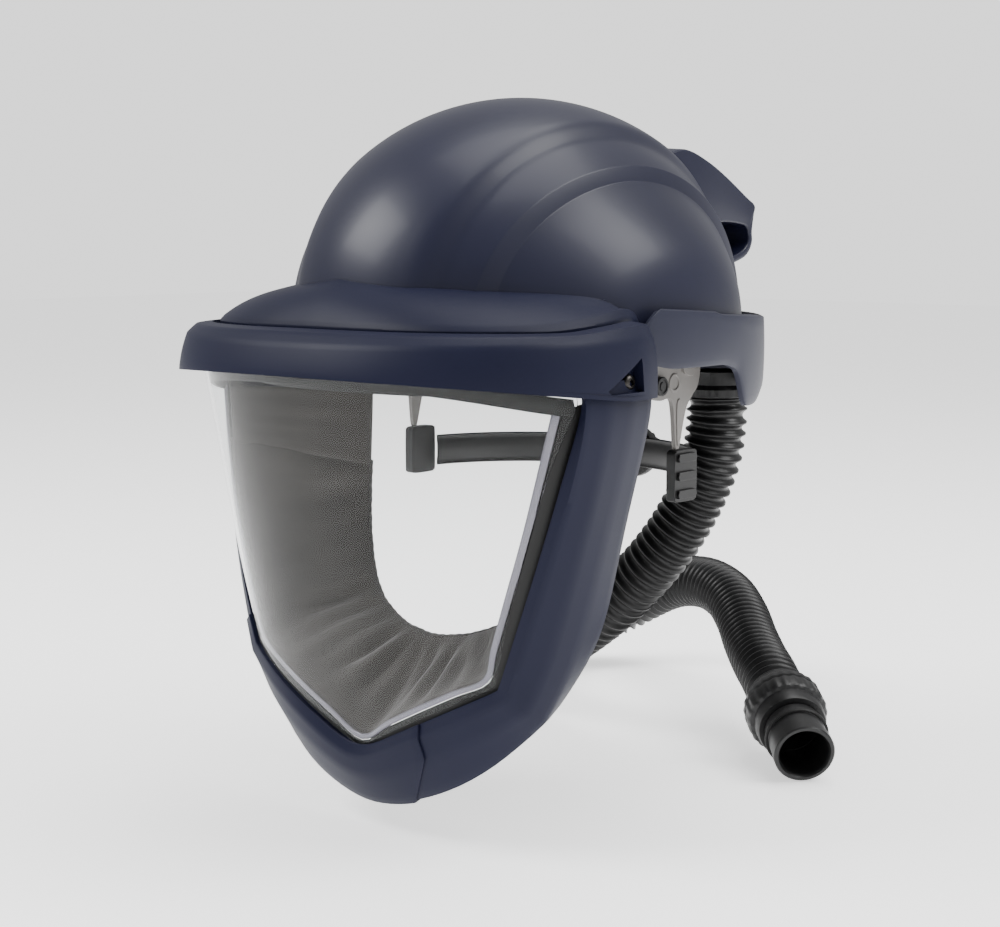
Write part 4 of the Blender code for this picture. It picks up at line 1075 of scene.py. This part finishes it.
def make_inner_parts():
    path = [((52, 112, -24), 0.20), ((50, 110, -6), 0.30), ((43, 103, 22), 0.55),
            ((30, 88, 52), 0.80), ((15, 62, 82), 1.0), ((3, 25, 98), 1.0), ((0, -15, 100), 1.0),
            ((0, -55, 91), 1.0), ((0, -88, 69), 1.0), ((0, -108, 44), 1.0)]
    centres = refined([Vector(p) * MM for p, _ in path], 4)
    flats = [f for _, f in path]
    sections = []
    corners = 28
    for k, centre in enumerate(centres):
        place = min(k / 4, len(flats) - 1.001)
        flatness = blend(flats[int(place)], flats[int(place) + 1], place % 1)
        ahead = (centres[min(k + 1, len(centres) - 1)] - centres[max(k - 1, 0)]).normalized()
        outward = Vector((centre.x / SHELL.x ** 2, centre.y / SHELL.y ** 2,
                          max(centre.z, 0) / SHELL.z ** 2))
        outward = (outward - ahead * outward.dot(ahead)).normalized()
        side = ahead.cross(outward)
        half_wide = blend(14, 24, flatness) * MM
        half_high = blend(12, 5.5, flatness) * MM - (0.4 * MM if k % 4 == 2 else 0)
        sections.append([centre + side * half_wide * squared(math.cos(a), 0.6)
                         + outward * half_high * squared(math.sin(a), 0.6)
                         for a in (2 * math.pi * i / corners for i in range(corners))])
    panel("air_channel", sections, 1.4 * MM, "black", "helmet", ["air_duct"], levels=0,
          edge=0.3 * MM, wrap=True)
    rows = []
    for z, width, depth, out in ((-29, 101, 71, 0), (-27, 102, 72, 0.9), (-24, 103, 73, -0.6),
                                 (-20.5, 105, 75, 0.8), (-16, 106, 76, -0.6), (-11, 107.5, 77.5, 0.8),
                                 (-6, 108.5, 78.5, -0.4), (-3, 109, 79, 0)):
        row = []
        for k in range(73):
            angle = math.radians(blend(-62, 62, k / 72))
            x, y = outline((width + out) * MM, (depth + out) * MM, -72 * MM, angle)
            row.append(Vector((x, y, z * MM)))
        rows.append(row)
    panel("brow_bellows", rows, 1.4 * MM, "rubber", "helmet", ["brow_seal"], levels=1,
          edge=0.3 * MM)
    rows = [mirrored(lens_edge_points(out * MM, inward * MM))
            for out, inward in ((-3.6, 2.8), (-3.2, 2.1), (-1.6, 2.1), (0.9, 2.2), (3.4, 2.2))]
    # A pale strip just inside the lens edge: a painted highlight, standing in for the light caught on
    # the lens's edge.
    rim = [mirrored(lens_edge_points(out * MM, inward * MM))
           for out, inward in ((-6.6, 3.4), (-6.2, 2.6), (-4.6, 2.2), (-3.8, 2.6))]
    panel("lens_edge_highlight_strip", [refined(row, 4) for row in rim], 1.0 * MM, "rim", "visor",
          levels=0, edge=0.2 * MM)
    brow = []
    for drop, inward in ((0.0, 2.2), (1.2, 1.8), (5.5, 1.8), (9.0, 2.2)):
        row = []
        for k in range(61):
            x = blend(-121.6, 121.6, k / 60)
            z = blend(-24.5, -37.5, (abs(x) / 121.6) ** 3.4) + drop
            row.append(lens_point(x * MM, z * MM, inward * MM))
        brow.append(row)
    panel("brow_gasket", brow, 1.2 * MM, "rubber", "visor", levels=0, edge=0.2 * MM)
    panel("gasket_strip", [refined(row, 4) for row in rows], 1.4 * MM, "rubber", "visor",
          ["lens_gasket"], levels=0, edge=0.3 * MM)


# ---- the CAD nodes that stay, and all materials
def dress_nodes():
    for node, finish in (("pivot_block", "black"), ("pivot_bush", "black"),
                         ("pivot_bolt", "steel"), ("friction_washer", "brass")):
        for side in ("_left", "_right"):
            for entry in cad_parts[node + side].material_slots:
                entry.material = mats[finish]


FINISHES = [
    # finish, material, two colours, roughness, grain, grain scale, specular level, metallic
    ("shell", "satin_navy_shell", (0.0068, 0.0076, 0.0215), (0.0082, 0.0092, 0.0250),
     0.38, 0.04, 1500, 0.26, 0),
    ("frame", "matte_navy_plastic", (0.0068, 0.0078, 0.0215), (0.0080, 0.0092, 0.0245),
     0.46, 0.12, 2200, 0.13, 0),
    ("band", "grey_blue_plastic", (0.0150, 0.0162, 0.0310), (0.0175, 0.0188, 0.0345),
     0.42, 0.08, 2000, 0.25, 0),
    ("black", "black_plastic", (0.0055, 0.0055, 0.0058), (0.0080, 0.0080, 0.0083),
     0.42, 0.10, 1800, 0.4, 0),
    ("hose", "hose_black", (0.0050, 0.0050, 0.0053), (0.0075, 0.0075, 0.0078),
     0.36, 0.08, 1600, 0.3, 0),
    ("grey", "light_grey_plastic", (0.155, 0.147, 0.139), (0.190, 0.180, 0.170),
     0.5, 0.08, 1800, 0.5, 0),
    ("rubber", "black_rubber", (0.0050, 0.0050, 0.0050), (0.0075, 0.0075, 0.0075),
     0.6, 0.12, 1500, 0.35, 0),
    ("steel", "dark_steel", (0.045, 0.042, 0.040), (0.065, 0.060, 0.056), 0.38, 0.05, 2500, 0.5, 1),
    ("brass", "brass", (0.60, 0.44, 0.20), (0.66, 0.50, 0.25), 0.35, 0.05, 2500, 0.5, 1),
    # rim: a pale colour that paints the highlight along the lens edge.
    ("rim", "painted_lens_edge_highlight", (0.16, 0.155, 0.19), (0.20, 0.195, 0.23), 0.35, 0.05, 900, 0.5, 0),
]


def make_materials():
    for finish, name, colour, second, roughness, grain, scale, specular, metallic in FINISHES:
        mats[finish] = surface_material(name, colour, second, roughness, metallic=metallic,
                                        grain=grain, grain_scale=scale, specular=specular,
                                        coat=0.05 if finish == "shell" else 0.0)
    mats["lens"] = clear_material()
    mats["hem"] = woven_material("hem_binding", (0.036, 0.033, 0.031), (0.047, 0.043, 0.041), 0.6 * MM)
    mats["webbing"] = woven_material("black_webbing", (0.008, 0.008, 0.009), (0.012, 0.012, 0.013))
    mats["fabric"] = woven_material("seal_fabric", (0.034, 0.030, 0.027), (0.044, 0.039, 0.035),
                                    1.2 * MM, relief=0.01)


def main():
    make_materials()
    make_camera()
    make_studio()
    for make in (make_hose, make_cuff, make_shell, make_brim, make_visor_band, make_frame,
                 make_chin_cover, make_lens, make_face_seal, make_rear_band, make_crown_tail,
                 make_harness, make_brackets, make_inner_parts, dress_nodes):
        make()


main()
